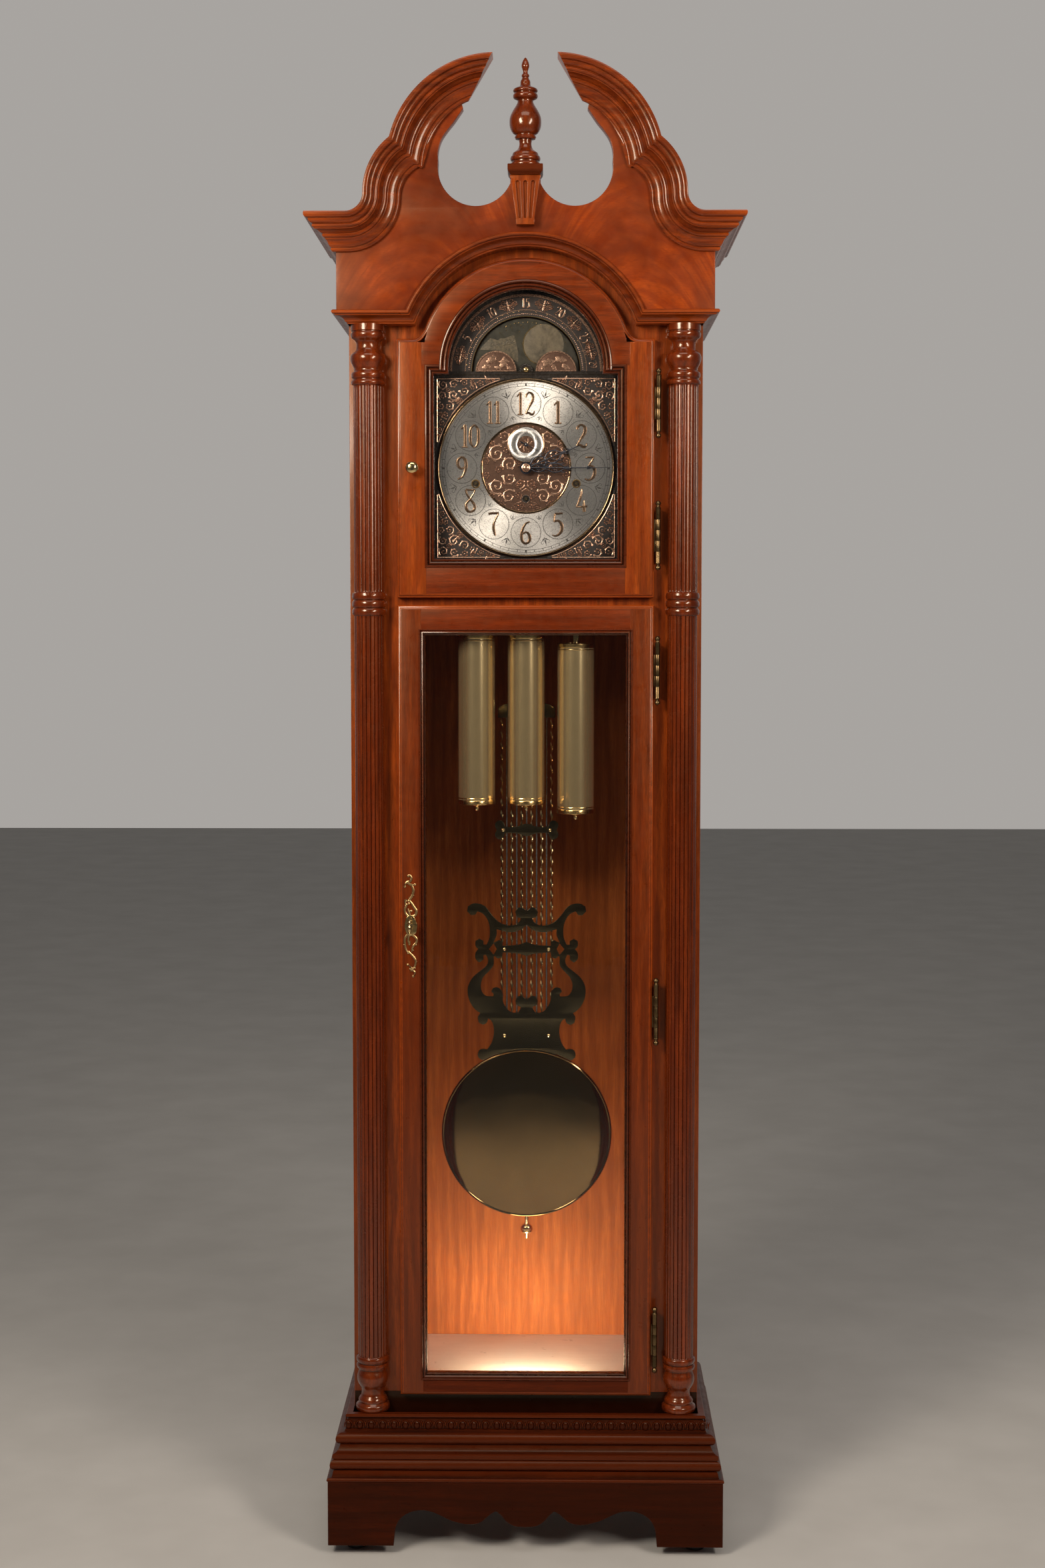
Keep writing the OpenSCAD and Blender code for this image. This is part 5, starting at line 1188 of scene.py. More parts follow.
setmat(BLACK, "dial_plate")
lathe("dial_bezel", [(131.4, 0), (131.5, 3.0), (132.2, 3.9), (133.4, 4.3), (134.6, 4.1), (135.6, 3.3), (136.2, 2.0), (136.2, 0), (131.4, 0)], (0, -80, DIAL), "case", DARKRING, "y", 180, 40)
cr_ = lathe("chapter_ring_fine", [(68.9, 0), (68.9, 2.6), (69.3, 3.0), (131.0, 3.0), (131.4, 2.6), (131.4, 0), (68.9, 0)], (0, -80, DIAL), "case", SILVER, "y", 200, 40, origin=True)
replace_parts(cr_, "chapter_ring")
WD, WI, WN, WE = Wires(), Wires(), Wires(), Wires()
for k in range(12):
    a = math.radians(90 - 30 * (k + 1))
    c = (97.4 * math.cos(a), DIAL + 97.4 * math.sin(a))
    disc(WD, c, 22.9, -83.0, 0.35, 72)
    WI.ring(c, 22.35, 23.1, -83.0, 0.45, 0, 360, 72)
    txt = str(k + 1)
    sq = 0.86 if len(txt) == 2 else 1.0
    # painted shade: a wider dark copy beneath each numeral stands for the shade round the raised figure
    number(WE, txt, c, 34.6, -83.3, 0.45, 0, sq, 1.0)
    number(WN, txt, c, 34.6, -83.45, 1.15, 0, sq, 0.0)
    g_ = math.radians(75 - 30 * k)
    sprig(WI, (113.6 * math.cos(g_), DIAL + 113.6 * math.sin(g_)), math.degrees(g_) - 90, 1.3, -83.0)
    sprig(WI, (77.6 * math.cos(g_), DIAL + 77.6 * math.sin(g_)), math.degrees(g_) + 90, 0.85, -83.0)
for r in (123.8, 127.6):
    WI.ring((0, DIAL), r - 0.3, r + 0.3, -83.0, 0.12, 0, 360, 180)
for k in range(60):
    a = math.radians(6 * k)
    big = k % 5 == 0
    WI.block((125.7 * math.cos(a), DIAL + 125.7 * math.sin(a)), 3.8, 2.6 if big else 0.8, 6 * k, -83.0, 0.2)
WI.ring((0, DIAL), 129.7, 130.1, -83.0, 0.12, 0, 360, 180)
for w_, nm, m_ in ((WD, "numeral_discs", SILVER_D), (WI, "chapter_engraving", INK), (WE, "numeral_edges", BRONZE_E), (WN, "numerals", BRONZE)):
    w_.make(nm, "case", m_)

# centre field and its scrolls
CF_, CW, CU = Wires(), Wires(), Wires()
CF_.ring((0, DIAL), 6.5, 66.2, -80, 0.9, 0, 360, 140)
CWn = [(-44.4, 21.4, 14, 60, 1), (-61, 10.7, 6.5, 200, -1), (-24.9, 5.8, 12, 200, -1), (-60.5, -9.7, 6.5, 150, 1), (-24.9, -15.6, 11, 150, 1), (-44.4, -27.3, 13.5, 300, -1),
       (-8.6, -23.4, 8, 260, 1), (-26.0, -42.5, 11.5, 40, 1), (-6, -58.5, 4.6, 200, -1), (-33, 48.2, 9.5, 250, 1), (-41.5, -2.5, 6.5, 0, 1), (-12, -41, 6, 300, 1), (-16, -58.5, 5, 20, 1), (-52, 36, 5.5, 100, -1), (-10.5, 8, 6.5, 120, 1), (-52.5, -41.5, 5.5, 200, 1), (-38, -55, 5, 90, -1), (-13, -27, 5, 0, 1), (-29, 27, 7, 300, 1)]
for x, z, r, rot, hd in CWn:
    scroll(CW, x, DIAL + z, r, rot, hd, -80.85, 1.5, shade_outline=CU)
    scroll(CW, -x, DIAL + z, r, 180 - rot, -hd, -80.85, 1.5, shade_outline=CU)
for a in range(0, 360, 10):
    q = math.radians(a)
    CW.bead((63.6 * math.cos(q), -80.9, DIAL + 63.6 * math.sin(q)), 0.8, 0.8, 6, 4)
for sg in (-1, 1):
    for c, an, ln in (((0, 6), 90 - sg * 28, 9), ((0, -30), 270 + sg * 30, 9), ((sg * 7, -50), 270 + sg * 45, 8), ((sg * 51, 36), 40 if sg > 0 else 140, 9), ((sg * 54, -40), -35 if sg > 0 else 215, 8), ((sg * 13, 14), 60 if sg > 0 else 120, 7)):
        leaf(CW, (c[0], DIAL + c[1]), an, ln, 3.0, -80.85, 1.1, sg * 30)
o = CF_.make("centre_field", "case", COPPER_F)
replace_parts(o, "dial_castings")
# painted shade: the dark outlines beneath the centre scrolls and leaves stand for shade round the raised castings
o = CU.make("centre_scroll_shade_outline", "case", RECESS)
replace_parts(o, "dial_castings")
o = CW.make("centre_scrolls", "case", COPPER)
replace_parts(o, "dial_castings")
o = lathe("centre_rim", [(65.8, 0), (65.8, 1.6), (66.4, 2.1), (68.2, 2.1), (68.9, 1.5), (68.9, 0), (65.8, 0)], (0, -80, DIAL), "case", DARKRING, "y", 160, 40)
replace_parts(o, "dial_castings")

# corner castings
CORN_S = [(110, 110, 9.4, 200, 1), (126, 126, 8.2, 45, -1), (127, 109.5, 7.4, 300, 1), (109.5, 127, 7.4, 150, -1), (116.5, 93.5, 7.6, 80, 1), (93.5, 116.5, 7.6, 10, -1), (129, 94, 6.0, 80, -1), (94, 129, 6.0, 10, 1),
          (122.5, 80.5, 6.0, 250, 1), (80.5, 122.5, 6.0, 200, -1), (130.6, 81.5, 4.4, 250, -1), (81.5, 130.6, 4.4, 200, 1), (127.5, 69, 5.2, 80, -1), (69, 127.5, 5.2, 10, 1), (130.6, 58.5, 4.2, 250, 1), (58.5, 130.6, 4.2, 200, -1),
          (132.2, 49.8, 3.0, 80, -1), (49.8, 132.2, 3.0, 10, 1), (103, 99, 4.0, 20, 1), (99, 103, 4.0, 70, -1), (118, 118, 4.2, 200, 1)]
KW = Wires()
for sx in (-1, 1):
    for sz in (-1, 1):
        out = [(136, 136), (33, 136)] + arc((0, 0), 137.6, 76.2, 13.8, 30) + [(136, 33)]
        lp = [(sx * x, DIAL + sz * z) for x, z in out]
        o = plate("corner_field", [lp if sx * sz > 0 else lp[::-1]], -81.3, -80, "case", RECESS, 0.2)
        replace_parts(o, "dial_castings")
        inner = [(135, 135), (40, 135.1)] + arc((0, 0), 138.7, 73.5, 16.5, 24) + [(135.1, 40), (135, 135)]
        KW.ribbon([(sx * x, DIAL + sz * z, 1.9) for x, z in inner], -81.2, 1.3, 5)
        for x, z, r, rot, hd in CORN_S:
            rr = rot if sx > 0 else 180 - rot
            hh = hd * sx
            if sz < 0:
                rr, hh = -rr, -hh
            scroll(KW, sx * x, DIAL + sz * z, r, rr, hh, -81.2, 1.3, w=max(1.5, r * 0.30))
        for an, d0, ln in ((45, 145, 14), (33, 146, 10), (57, 146, 10), (24, 146, 7), (66, 146, 7)):
            q = math.radians(an)
            a2 = an if sx > 0 else 180 - an
            a2 = a2 if sz > 0 else -a2
            leaf(KW, (sx * d0 * math.cos(q), DIAL + sz * d0 * math.sin(q)), a2, ln, 3.4, -81.2, 1.2)
o = KW.make("corner_scrolls", "case", COPPER)
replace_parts(o, "dial_castings")

# seconds ring
o = lathe("seconds_ring", [(13.2, 0), (13.2, 1.5), (13.6, 1.8), (25.8, 1.8), (26.2, 1.5), (26.2, 0), (13.2, 0)], (0, -81.2, SEC), "case", SILVER, "y", 120, 40, origin=True)
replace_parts(o, "chapter_ring")
o = lathe("seconds_rim", [(26.1, 0), (26.2, 2.6), (26.8, 3.1), (27.6, 2.9), (28.0, 2.0), (28.0, 0), (26.1, 0)], (0, -80.6, SEC), "case", BRONZE, "y", 120, 40)
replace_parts(o, "chapter_ring")
SI, SF, SW_ = Wires(), Wires(), Wires()
SF.ring((0, SEC), 1.9, 13.3, -80.8, 0.9, 0, 360, 64)
for k in range(60):
    SI.block((24.6 * math.cos(math.radians(6 * k)), SEC + 24.6 * math.sin(math.radians(6 * k))), 1.8 if k % 5 else 2.6, 0.28 if k % 5 else 0.6, 6 * k, -83.0, 0.1)
for k in range(6):
    a = math.radians(90 - 60 * (k + 1))
    number(SI, str(10 * (k + 1)), (18.4 * math.cos(a), SEC + 18.4 * math.sin(a)), 5.4, -83.0, 0.15, 0, 0.95, 0, 4, 1.0)
for k in range(8):
    a = 45 * k
    q = math.radians(a)
    leaf(SW_, (3.2 * math.cos(q), SEC + 3.2 * math.sin(q)), a + 12, 8, 2.6, -81.65, 0.7, 30)
    SW_.bead((11.6 * math.cos(q + 0.39), -81.7, SEC + 11.6 * math.sin(q + 0.39)), 0.7, 0.7, 6, 4)
for w_, nm, m_ in ((SI, "seconds_figures", INK), (SF, "seconds_field", COPPER_F), (SW_, "seconds_leaves", COPPER)):
    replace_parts(w_.make(nm, "case", m_), "chapter_ring")

# winding holes
for x, z, m_ in ((-76.6, DIAL - 23.5, GILT), (76.6, DIAL - 23.5, GILT), (0, DIAL - 46.2, STEEL)):
    y0 = -80.6 if x == 0 else -82.8
    o = lathe("winding_ring", [(4.6, 0), (4.6, 1.6), (5.0, 2.1), (5.9, 2.1), (6.6, 1.3), (6.6, 0), (4.6, 0)], (x, y0, z), "case", m_, "y", 48, 40)
    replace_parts(o, "dial_castings")
    q = Wires()
    disc(q, (x, z), 4.8, y0 - 0.1, 0.3, 32)
    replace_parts(q.make("winding_hole", "case", BLACK), "dial_castings")

# ---------------------------------------------------------------- lunar arch
AF, AW, AI, AG, AB = Wires(), Wires(), Wires(), Wires(), Wires()
AF.ring((0, MOON), 82.5, 112.4, -80, 0.9, 0, 180, 120)
AW.ring((0, MOON), 112.2, 116, -80, 1.6, 0, 180, 120)
AW.ring((0, MOON), 113.2, 115.0, -81.4, 0.9, 0, 180, 120)
AG.ring((0, MOON), 82.0, 83.0, -80, 1.5, 0, 180, 120)
AW.ring((0, MOON), 91.6, 92.6, -80.8, 0.7, 0, 180, 120)
for a in range(2, 180, 2):
    q = math.radians(a)
    AW.bead((86.2 * math.cos(q), -80.9, MOON + 86.2 * math.sin(q)), 0.95, 0.7, 7, 4)
k = 3.0
while k < 178:
    q = math.radians(k)
    AG.bead((90.2 * math.cos(q), -80.9, MOON + 90.2 * math.sin(q)), 0.75, 0.7, 6, 4)
    k += 5.5
AN = [("5", 151), ("10", 120.5), ("15", 90), ("20", 59.5), ("25", 29)]
for txt, a in AN:
    q = math.radians(a)
    number(AW, txt, (102.4 * math.cos(q), MOON + 102.4 * math.sin(q)), 14.2, -80.9, 1.2, 90 - a, 0.95, 0, 5, 1.7)
q = math.radians(5.5)
number(AW, "29", (102.6 * math.cos(q), MOON + 102.6 * math.sin(q)), 11.5, -80.9, 1.1, 84, 0.85, 0, 5, 1.7)
for m_a in (166, 136, 105.5, 74.5, 44.5, 17.5):
    q = math.radians(m_a)
    rx, rz = math.cos(q), math.sin(q)
    tx, tz = -rz, rx
    cx, cz = 102.4 * rx, MOON + 102.4 * rz
    AW.bead((cx, -80.9, cz), 2.6, 0.7, 8, 5)
    for sg in (-1, 1):
        for rad, off, rr in ((4.6, 5.6, 4.6), (-4.4, 5.2, 4.2), (0.4, 10.6, 3.9)):
            scroll(AW, cx + rx * rad + sg * tx * off, cz + rz * rad + sg * tz * off, rr, m_a + (200 if sg > 0 else 160), -sg if rad > 0 else sg, -80.85, 1.2, w=1.45)
        leaf(AW, (cx, cz), m_a + sg * 90, 15.5, 1.7, -80.85, 1.0, sg * 8)
    leaf(AW, (cx, cz), m_a, 8.6, 2.6, -80.85, 1.0)
    leaf(AW, (cx, cz), m_a + 180, 8.6, 2.6, -80.85, 1.0)
# the two half-round hemispheres, with raised rims and generic cast patches
for sx in (-1, 1):
    c = (sx * 45.5, MOON)
    lp = [(c[0] + 30.7, MOON - 0.01)] + arc(c, 30.7, 0.5, 179.5, 48) + [(c[0] - 30.7, MOON - 0.01)]
    o = plate("hemisphere", [lp], -81.0, -79.9, "case", COPPER_F, 0.15)
    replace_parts(o, "dial_castings")
    AW.ring(c, 28.7, 30.8, -80.9, 1.3, 0, 180, 60)
    AW.block((c[0], MOON + 0.7), 61.4, 1.6, 0, -80.9, 0.9)
    for k, (bx, bz, br, s1, s2) in enumerate([(-12, 13, 7.6, 0.22, 0.3), (7, 17.5, 6.6, 0.3, 0.2), (14.5, 6.5, 5.2, 0.24, 0.26), (-3, 5.5, 4.0, 0.3, 0.3), (-19.5, 5, 3.2, 0.2, 0.3)]):
        pts = []
        for i in range(26):
            a = 2 * pi * i / 26
            rr = br * (1 + s1 * math.sin(2 * a + k + sx) + s2 * 0.6 * math.sin(5 * a + 2 * k) + 0.12 * math.sin(9 * a + 3 * k))
            pts.append((c[0] + sx * bx + rr * math.cos(a), MOON + bz + rr * 0.85 * math.sin(a)))
        o = plate("cast_patch", [pts], -81.8, -80.9, "case", COPPER, 0.3)
        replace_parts(o, "dial_castings")
    for k in (-18, -9, 0, 9, 18):
        zt = math.sqrt(28.6 ** 2 - k * k)
        AI.ribbon([(c[0] + k * (1 - 0.35 * (t / 8) ** 2), MOON + 1 + (zt - 1) * t / 8 * 0.98, 0.3) for t in range(9)], -80.95, 0.15, 3)
q = Wires()
for k in range(11):
    a = math.radians(180 * k / 10)
    q.bead((9.2 * math.cos(a), -80.6, MOON + 1.0 + 9.2 * math.sin(a)), 1.7, 0.7, 8, 5)
q.ring((0, MOON + 1), 0.01, 9.6, -79.9, 1.0, 0, 180, 30)
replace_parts(q.make("boss_scallop", "case", BLACK), "dial_castings")
o = lathe("boss", [(4.3, 0), (4.3, 1.0), (3.6, 2.0), (2.2, 2.6), (0.001, 2.8)], (0, -80.6, MOON + 2.4), "case", GILT, "y", 40, 40)
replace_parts(o, "dial_castings")
for w_, nm, m_ in ((AF, "arch_field", RECESS), (AW, "arch_castings", COPPER), (AI, "hemisphere_lines", BRONZE_E), (AG, "arch_gilding", GILT)):
    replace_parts(w_.make(nm, "case", m_), "dial_castings")
q = Wires()
q.block((0, MOON - 4.9), 252, 0.7, 0, -80, 0.5)
q.block((0, MOON - 1.0), 2 * 14.6, 0.8, 0, -80, 0.7)
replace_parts(q.make("arch_bar_lines", "case", DARKRING), "dial_castings")

# turning disc behind the arch: dark sky, gilt stars, a plain mottled moon and a strip of land, twice
MB = B("moon_disc")
o = lathe("moon_sky_disc", [(0.001, -1.5), (5, -1.5), (5, 0), (80, 0), (80, 1.5), (0.001, 1.5)], (0, -74, MOON), MB, OLIVE, "y", 120, 40)
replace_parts(o, "moon_disc")
o = lathe("moon_disc_hub", [(2, 0), (5, 0), (5, -5), (2, -5), (2, 0)], (0, -74, MOON), MB, BRASS, "y", 32, 40)
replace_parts(o, "moon_disc")


def moon_mat():
    m, nt, b = mat_new("moon_painted")
    g = G(nt)
    v = g.coords()
    n1 = g.noise(v, 42, 5, 0.62, 0.8)
    n2 = g.noise(v, 130, 4, 0.6, 0.3)
    c = g.mix(g.ramp(n1, [(0.38, 0.0), (0.66, 1.0)]), (0.12, 0.095, 0.055), (0.022, 0.018, 0.010))
    c = g.mix(g.ramp(n2, [(0.42, 0.0), (0.72, 0.6)]), c, (0.17, 0.135, 0.080))
    g.link(c, b.inputs["Base Color"])
    g.link(g.ramp(n2, [(0.3, 0.38), (0.7, 0.55)]), b.inputs["Roughness"])
    g.link(g.bump(n1, 0.15, 0.0006), b.inputs["Normal"])
    return m


MOONP = moon_mat()
MS = Wires()
for flip in (1, -1):
    mc = (26.1 * flip, MOON + 40.6 * flip)
    o = lathe("painted_moon", [(0.001, 0.55), (29.6, 0.45), (31, 0.2), (31, 0)], (mc[0], -75.45, mc[1]), MB, MOONP, "y", 72, 40)
    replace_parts(o, "moon_disc")
    MS.ring(mc, 29.8, 31.2, -75.5, 0.55, 110 if flip > 0 else -70, 250 if flip > 0 else 70, 40)
    land = [(-70, 33), (-66, 38.5), (-60, 45), (-54, 50.5), (-48, 49), (-43, 47), (-39, 50), (-32, 50), (-25, 53.5), (-18, 55), (-15, 44), (-12, 29), (-12, 14), (-30, 24), (-46, 32)]
    o = plate("painted_land", [[(x * flip, MOON + z * flip) for x, z in land]], -75.95, -75.4, MB, LANDA, 0.1)
    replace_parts(o, "moon_disc")
    for i in range(11):
        a = math.radians(62 + 5.2 * i)
        MS.bead((flip * 74.5 * math.cos(a), -75.6, MOON + flip * 74.5 * math.sin(a)), 0.8, 0.6, 6, 4)
    for x, z in ((-4, 66), (-10, 60), (2, 74), (-22, 66), (-30, 62), (-2, 50), (-6, 42), (-40, 58), (-56, 52), (62, 30), (66, 18), (60, 44), (-64, 44), (-8, 70), (-16, 73)):
        x, z = x * flip, z * flip
        for k in range(4):
            MS.ribbon([(x, MOON + z, 0.8), (x + 1.6 * math.cos(pi / 4 * k * 2 + 0.3), MOON + z + 1.6 * math.sin(pi / 4 * k * 2 + 0.3), 0.15)], -75.5, 0.25, 4)
    for x, z, r in ((-52, 41, 2.6), (-44, 40, 3.2), (-34, 42, 2.8), (-26, 44, 3.4), (-19, 46, 2.6)):
        q = Wires()
        for k in range(6):
            q.bead((flip * (x + r * 0.7 * math.cos(k * 1.05)), -75.9, MOON + flip * (z + r * 0.6 * math.sin(k * 1.05))), r * 0.62, 0.25, 8, 4)
        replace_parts(q.make("painted_trees", MB, LANDA), "moon_disc")
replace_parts(MS.make("stars", MB, GILT), "moon_disc")

# ---------------------------------------------------------------- hands
def hand_pts(theta, c, pts):
    a = math.radians(theta)
    return [(c[0] + u * math.sin(a) + w * math.cos(a), c[1] + u * math.cos(a) - w * math.sin(a), t) for u, w, t in pts]


def both(W, theta, c, pts, y, h):
    for sg in (-1, 1):
        q = crom([Vector((u, sg * w, t)) for u, w, t in pts], 5)
        W.ribbon(hand_pts(theta, c, [tuple(p) for p in q]), y, h, 5)


c = (0, DIAL)
H = Wires()
HB = B("hour_hand")
both(H, 67.5, c, [(8, 2, 2.6), (14, 7, 2.2), (21, 9.2, 2.0), (28, 7.2, 2.2), (32, 2.6, 2.4), (30, 0.6, 1.6)], -88.5, 1.4)
both(H, 67.5, c, [(31, 2, 2.0), (38, 7.6, 2.2), (45, 9.0, 2.2), (52, 6.6, 2.0), (57, 2.2, 2.0), (64, 0.9, 2.0)], -88.5, 1.4)
both(H, 67.5, c, [(40, 1, 1.2), (43, 4.4, 1.6), (47.5, 4.2, 1.4), (48, 2.0, 1.2)], -88.5, 1.2)
both(H, 67.5, c, [(18, 1, 1.2), (20, 4.6, 1.6), (24.5, 4.4, 1.4), (25, 2.2, 1.2)], -88.5, 1.2)
both(H, 67.5, c, [(27, 7.6, 1.8), (31, 11, 1.6), (33.4, 9.4, 1.2), (31.6, 8.2, 1.0)], -88.5, 1.2)
both(H, 67.5, c, [(50, 7.4, 1.8), (55, 9.8, 1.4), (57, 8.2, 1.0), (55, 7.0, 0.8)], -88.5, 1.2)
both(H, 67.5, c, [(62, 0.8, 1.6), (65, 3.4, 1.4), (68.5, 3.2, 1.3), (71, 0.7, 1.4)], -88.5, 1.3)
H.ribbon(hand_pts(67.5, c, [(8, 0, 2.6), (30, 0, 2.0), (62, 0, 2.2), (71, 0, 2.4), (78, 0, 1.9), (88, 0, 0.5)]), -88.5, 1.5, 5)
H.ring(c, 4.1, 9.2, -88.6, 1.4, 0, 360, 48)
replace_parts(H.make("hour_hand_fine", HB, HAND), "hour_hand")
o = lathe("hour_pipe", [(4.06, 0), (5.6, 0), (5.6, 25.5), (4.06, 25.5), (4.06, 0)], (0, -64, DIAL), HB, BRASS, "y", 40, 40)
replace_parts(o, "hour_hand")
M = Wires()
HB = B("minute_hand")
both(M, 90, c, [(7, 1.6, 2.4), (14, 5.4, 2.0), (21, 6.2, 1.9), (27, 3.2, 2.0), (31, 0.9, 1.8)], -92.5, 1.4)
both(M, 90, c, [(31, 1.2, 1.9), (38, 5.6, 2.0), (46, 6.6, 2.0), (53, 4.6, 1.9), (59, 1.4, 1.8), (66, 0.8, 1.6)], -92.5, 1.4)
both(M, 90, c, [(15, 1, 1.0), (17.5, 3.4, 1.4), (21.5, 3.0, 1.2), (21.6, 1.4, 1.0)], -92.5, 1.2)
both(M, 90, c, [(40, 1, 1.0), (43, 3.6, 1.4), (47.5, 3.2, 1.2), (47.6, 1.4, 1.0)], -92.5, 1.2)
both(M, 90, c, [(26, 3.4, 1.6), (30, 6.8, 1.4), (33, 5.6, 1.0), (31.4, 4.4, 0.8)], -92.5, 1.2)
both(M, 90, c, [(52, 5.0, 1.6), (57, 7.0, 1.3), (59, 5.6, 0.9), (57, 4.4, 0.8)], -92.5, 1.2)
both(M, 90, c, [(60, 0.8, 1.4), (63.5, 2.9, 1.3), (67, 2.6, 1.2), (69.5, 0.6, 1.2)], -92.5, 1.3)
M.ribbon(hand_pts(90, c, [(6, 0, 2.2), (31, 0, 1.7), (66, 0, 1.9), (92, 0, 1.5), (93, 0, 5.4), (97, 0, 3.6), (100, 0, 1.6), (127.7, 0, 0.5)]), -92.5, 1.5, 5)
M.ring(c, 1.9, 7.6, -92.6, 1.4, 0, 360, 48)
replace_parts(M.make("minute_hand_fine", HB, HAND), "minute_hand")
o = lathe("minute_pipe", [(2, 0), (2, 13), (1.1, 13), (1.1, 18), (2, 18), (2, 53.5), (4, 53.5), (4, 85.5), (0.001, 85.5)], (0, -9.5, DIAL), HB, BRASS, "y", 40, 40)
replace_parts(o, "minute_hand")
o = lathe("hand_nut", [(0.001, 0), (6.5, 0), (6.6, 0.8), (6.2, 1.4), (4.8, 1.8), (4.2, 2.6), (3.0, 3.2), (0.001, 3.4)], (0, -94.6, DIAL), HB, COPPER, "y", 40, 35)
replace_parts(o, "minute_hand")
S = Wires()
HB = B("second_hand")
cs = (0, SEC)
S.ribbon(hand_pts(117, cs, [(-10, 0, 1.0), (-8, 0, 2.6), (-6, 0, 2.2), (-4, 0, 1.1), (4, 0, 1.3), (16, 0, 0.9), (22.5, 0, 0.4)]), -85, 0.9, 5)
S.ring(cs, 0.01, 3.0, -85, 0.9, 0, 360, 32)
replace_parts(S.make("second_hand_fine", HB, HAND), "second_hand")
o = lathe("second_arbor", [(1.5, 0), (1.5, 76.6), (1.2, 77.2), (0.001, 77.4)], (0, -9.5, SEC), HB, STEEL, "y", 24, 40)
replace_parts(o, "second_hand")

# ---------------------------------------------------------------- movement and chimes
remake("movement_plates", BRASS, 0.3)
setmat(GILT, "center_wheel", "third_wheel", "escape_wheel")
setmat(STEEL, "pallet_anchor", "chime_rods", "door_lock")
setmat(BRASS, "drum_left", "drum_center", "drum_right")
setmat(BRASS_AGED, "chime_hammers")
setmat(FOOT, "levelling_feet")
setmat(BLACK, "cord_inlet")
remake("hinge_case_leaves", BRASS_HINGE, 0.3)
remake("upper_hinge_leaves", BRASS_HINGE, 0.3)
remake("lower_hinge_leaves", BRASS_HINGE, 0.3)

# ---------------------------------------------------------------- weights, pulleys and lines
WXS = {"left": (-76.6, 1150, DIAL - 23.5), "center": (0, 1150, DIAL - 46.2), "right": (76.6, 1136, DIAL - 23.5)}
CABLE = metal("winding_line", (0.42, 0.36, 0.25), 0.35, 0.5, 400, brush=(1, 1, 0.2), bump=0.4)
for nm, (x, z, dz) in WXS.items():
    node = "weight_" + nm
    b = B(node)
    zt = z + 262
    c = (x, -54, 0)
    o = lathe("weight_shell_" + nm, [(0.001, z - 0.1), (27.2, z - 0.1), (28.4, z + 1), (28.4, zt - 1), (27.2, zt + 0.1), (0.001, zt + 0.1)], c, b, BRASS_W, "z", 96, 30)
    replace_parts(o, node)
    for zz, sg in ((z, 1), (zt, -1)):
        lip = [(27.9, -0.3), (28.7, -0.1), (29.2, 0.6), (29.2, 5.2), (28.9, 6.2), (28.5, 6.8), (27.9, 6.8), (27.9, -0.3)]
        o = lathe("weight_lip", [(r, zz + sg * h) for r, h in lip], c, b, GILT, "z", 96, 30)
        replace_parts(o, node)
        o = lathe("weight_bead", [(r, zz + sg * h) for r, h in ((28.0, 8.6), (28.75, 8.9), (28.95, 9.6), (28.75, 10.3), (28.0, 10.6), (28.0, 8.6))], c, b, GILT, "z", 96, 30)
        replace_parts(o, node)
    o = lathe("weight_nut", [(0.001, z - 10), (2.6, z - 10), (3.6, z - 8.8), (4, z - 7), (3.4, z - 4.6), (5.4, z - 3.8), (6.2, z - 3), (6.2, z), (0.001, z)], c, b, BRASS, "z", 40, 30)
    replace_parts(o, node)
    o = lathe("weight_cap", [(0.001, zt), (6, zt), (6, zt + 3.4), (5.4, zt + 4), (0.001, zt + 4)], c, b, BRASS, "z", 40, 30)
    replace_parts(o, node)
    bbox("stirrup_foot", x - 4, x + 4, -60.5, -47.5, zt + 4, zt + 7, b, BRASS, 0.5, node)
    for s_ in (-5.5, 5.5):
        bbox("stirrup_arm", x - 4, x + 4, -54 + s_ - 1, -54 + s_ + 1, zt + 7, zt + 38, b, BRASS, 0.5, node)
    pz = zt + 32
    o = lathe("pulley_axle", [(0.001, -8), (1.6, -8), (2, -7.6), (2, 7.6), (1.6, 8), (0.001, 8)], (x, -54, pz), b, STEEL, "y", 24, 30)
    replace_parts(o, node)
    o = lathe("pulley_sheave_" + nm, [(2.05, -3.5), (5, -3.5), (5.4, -2.6), (13.6, -2.6), (14.2, -3.5), (18.2, -3.5), (18.5, -3.2), (18.5, -2.6), (15, -1), (15, 1), (18.5, 2.6), (18.5, 3.2), (18.2, 3.5),
              (14.2, 3.5), (13.6, 2.6), (5.4, 2.6), (5, 3.5), (2.05, 3.5), (2.05, -3.5)], (x, -54, pz), B("pulley_" + nm), BRASS, "y", 64, 30)
    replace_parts(o, "pulley_" + nm)
    # the two strands stretch between the drum or the seat board and the pulley
    q = Wires()
    for sx, top in ((-16, dz), (16, 1490)):
        n = int((top - pz) / 3)
        pts = [(x + sx, -54, pz + (top - pz) * i / n) for i in range(n + 1)]
        q.tube(pts, [0.8 if i % 2 else 0.74 for i in range(n + 1)], 8)
    o = q.make("line_strands_" + nm, None, CABLE)
    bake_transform(o)
    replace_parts(o, "cable_" + nm)
    q = Wires()
    q.tube([(x + 16 * math.cos(math.radians(180 + 180 * i / 24)), -54, pz + 16 * math.sin(math.radians(180 + 180 * i / 24))) for i in range(25)], 0.8, 8)
    o = q.make("line_loop_" + nm, b, CABLE)
    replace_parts(o, "cable_" + nm)

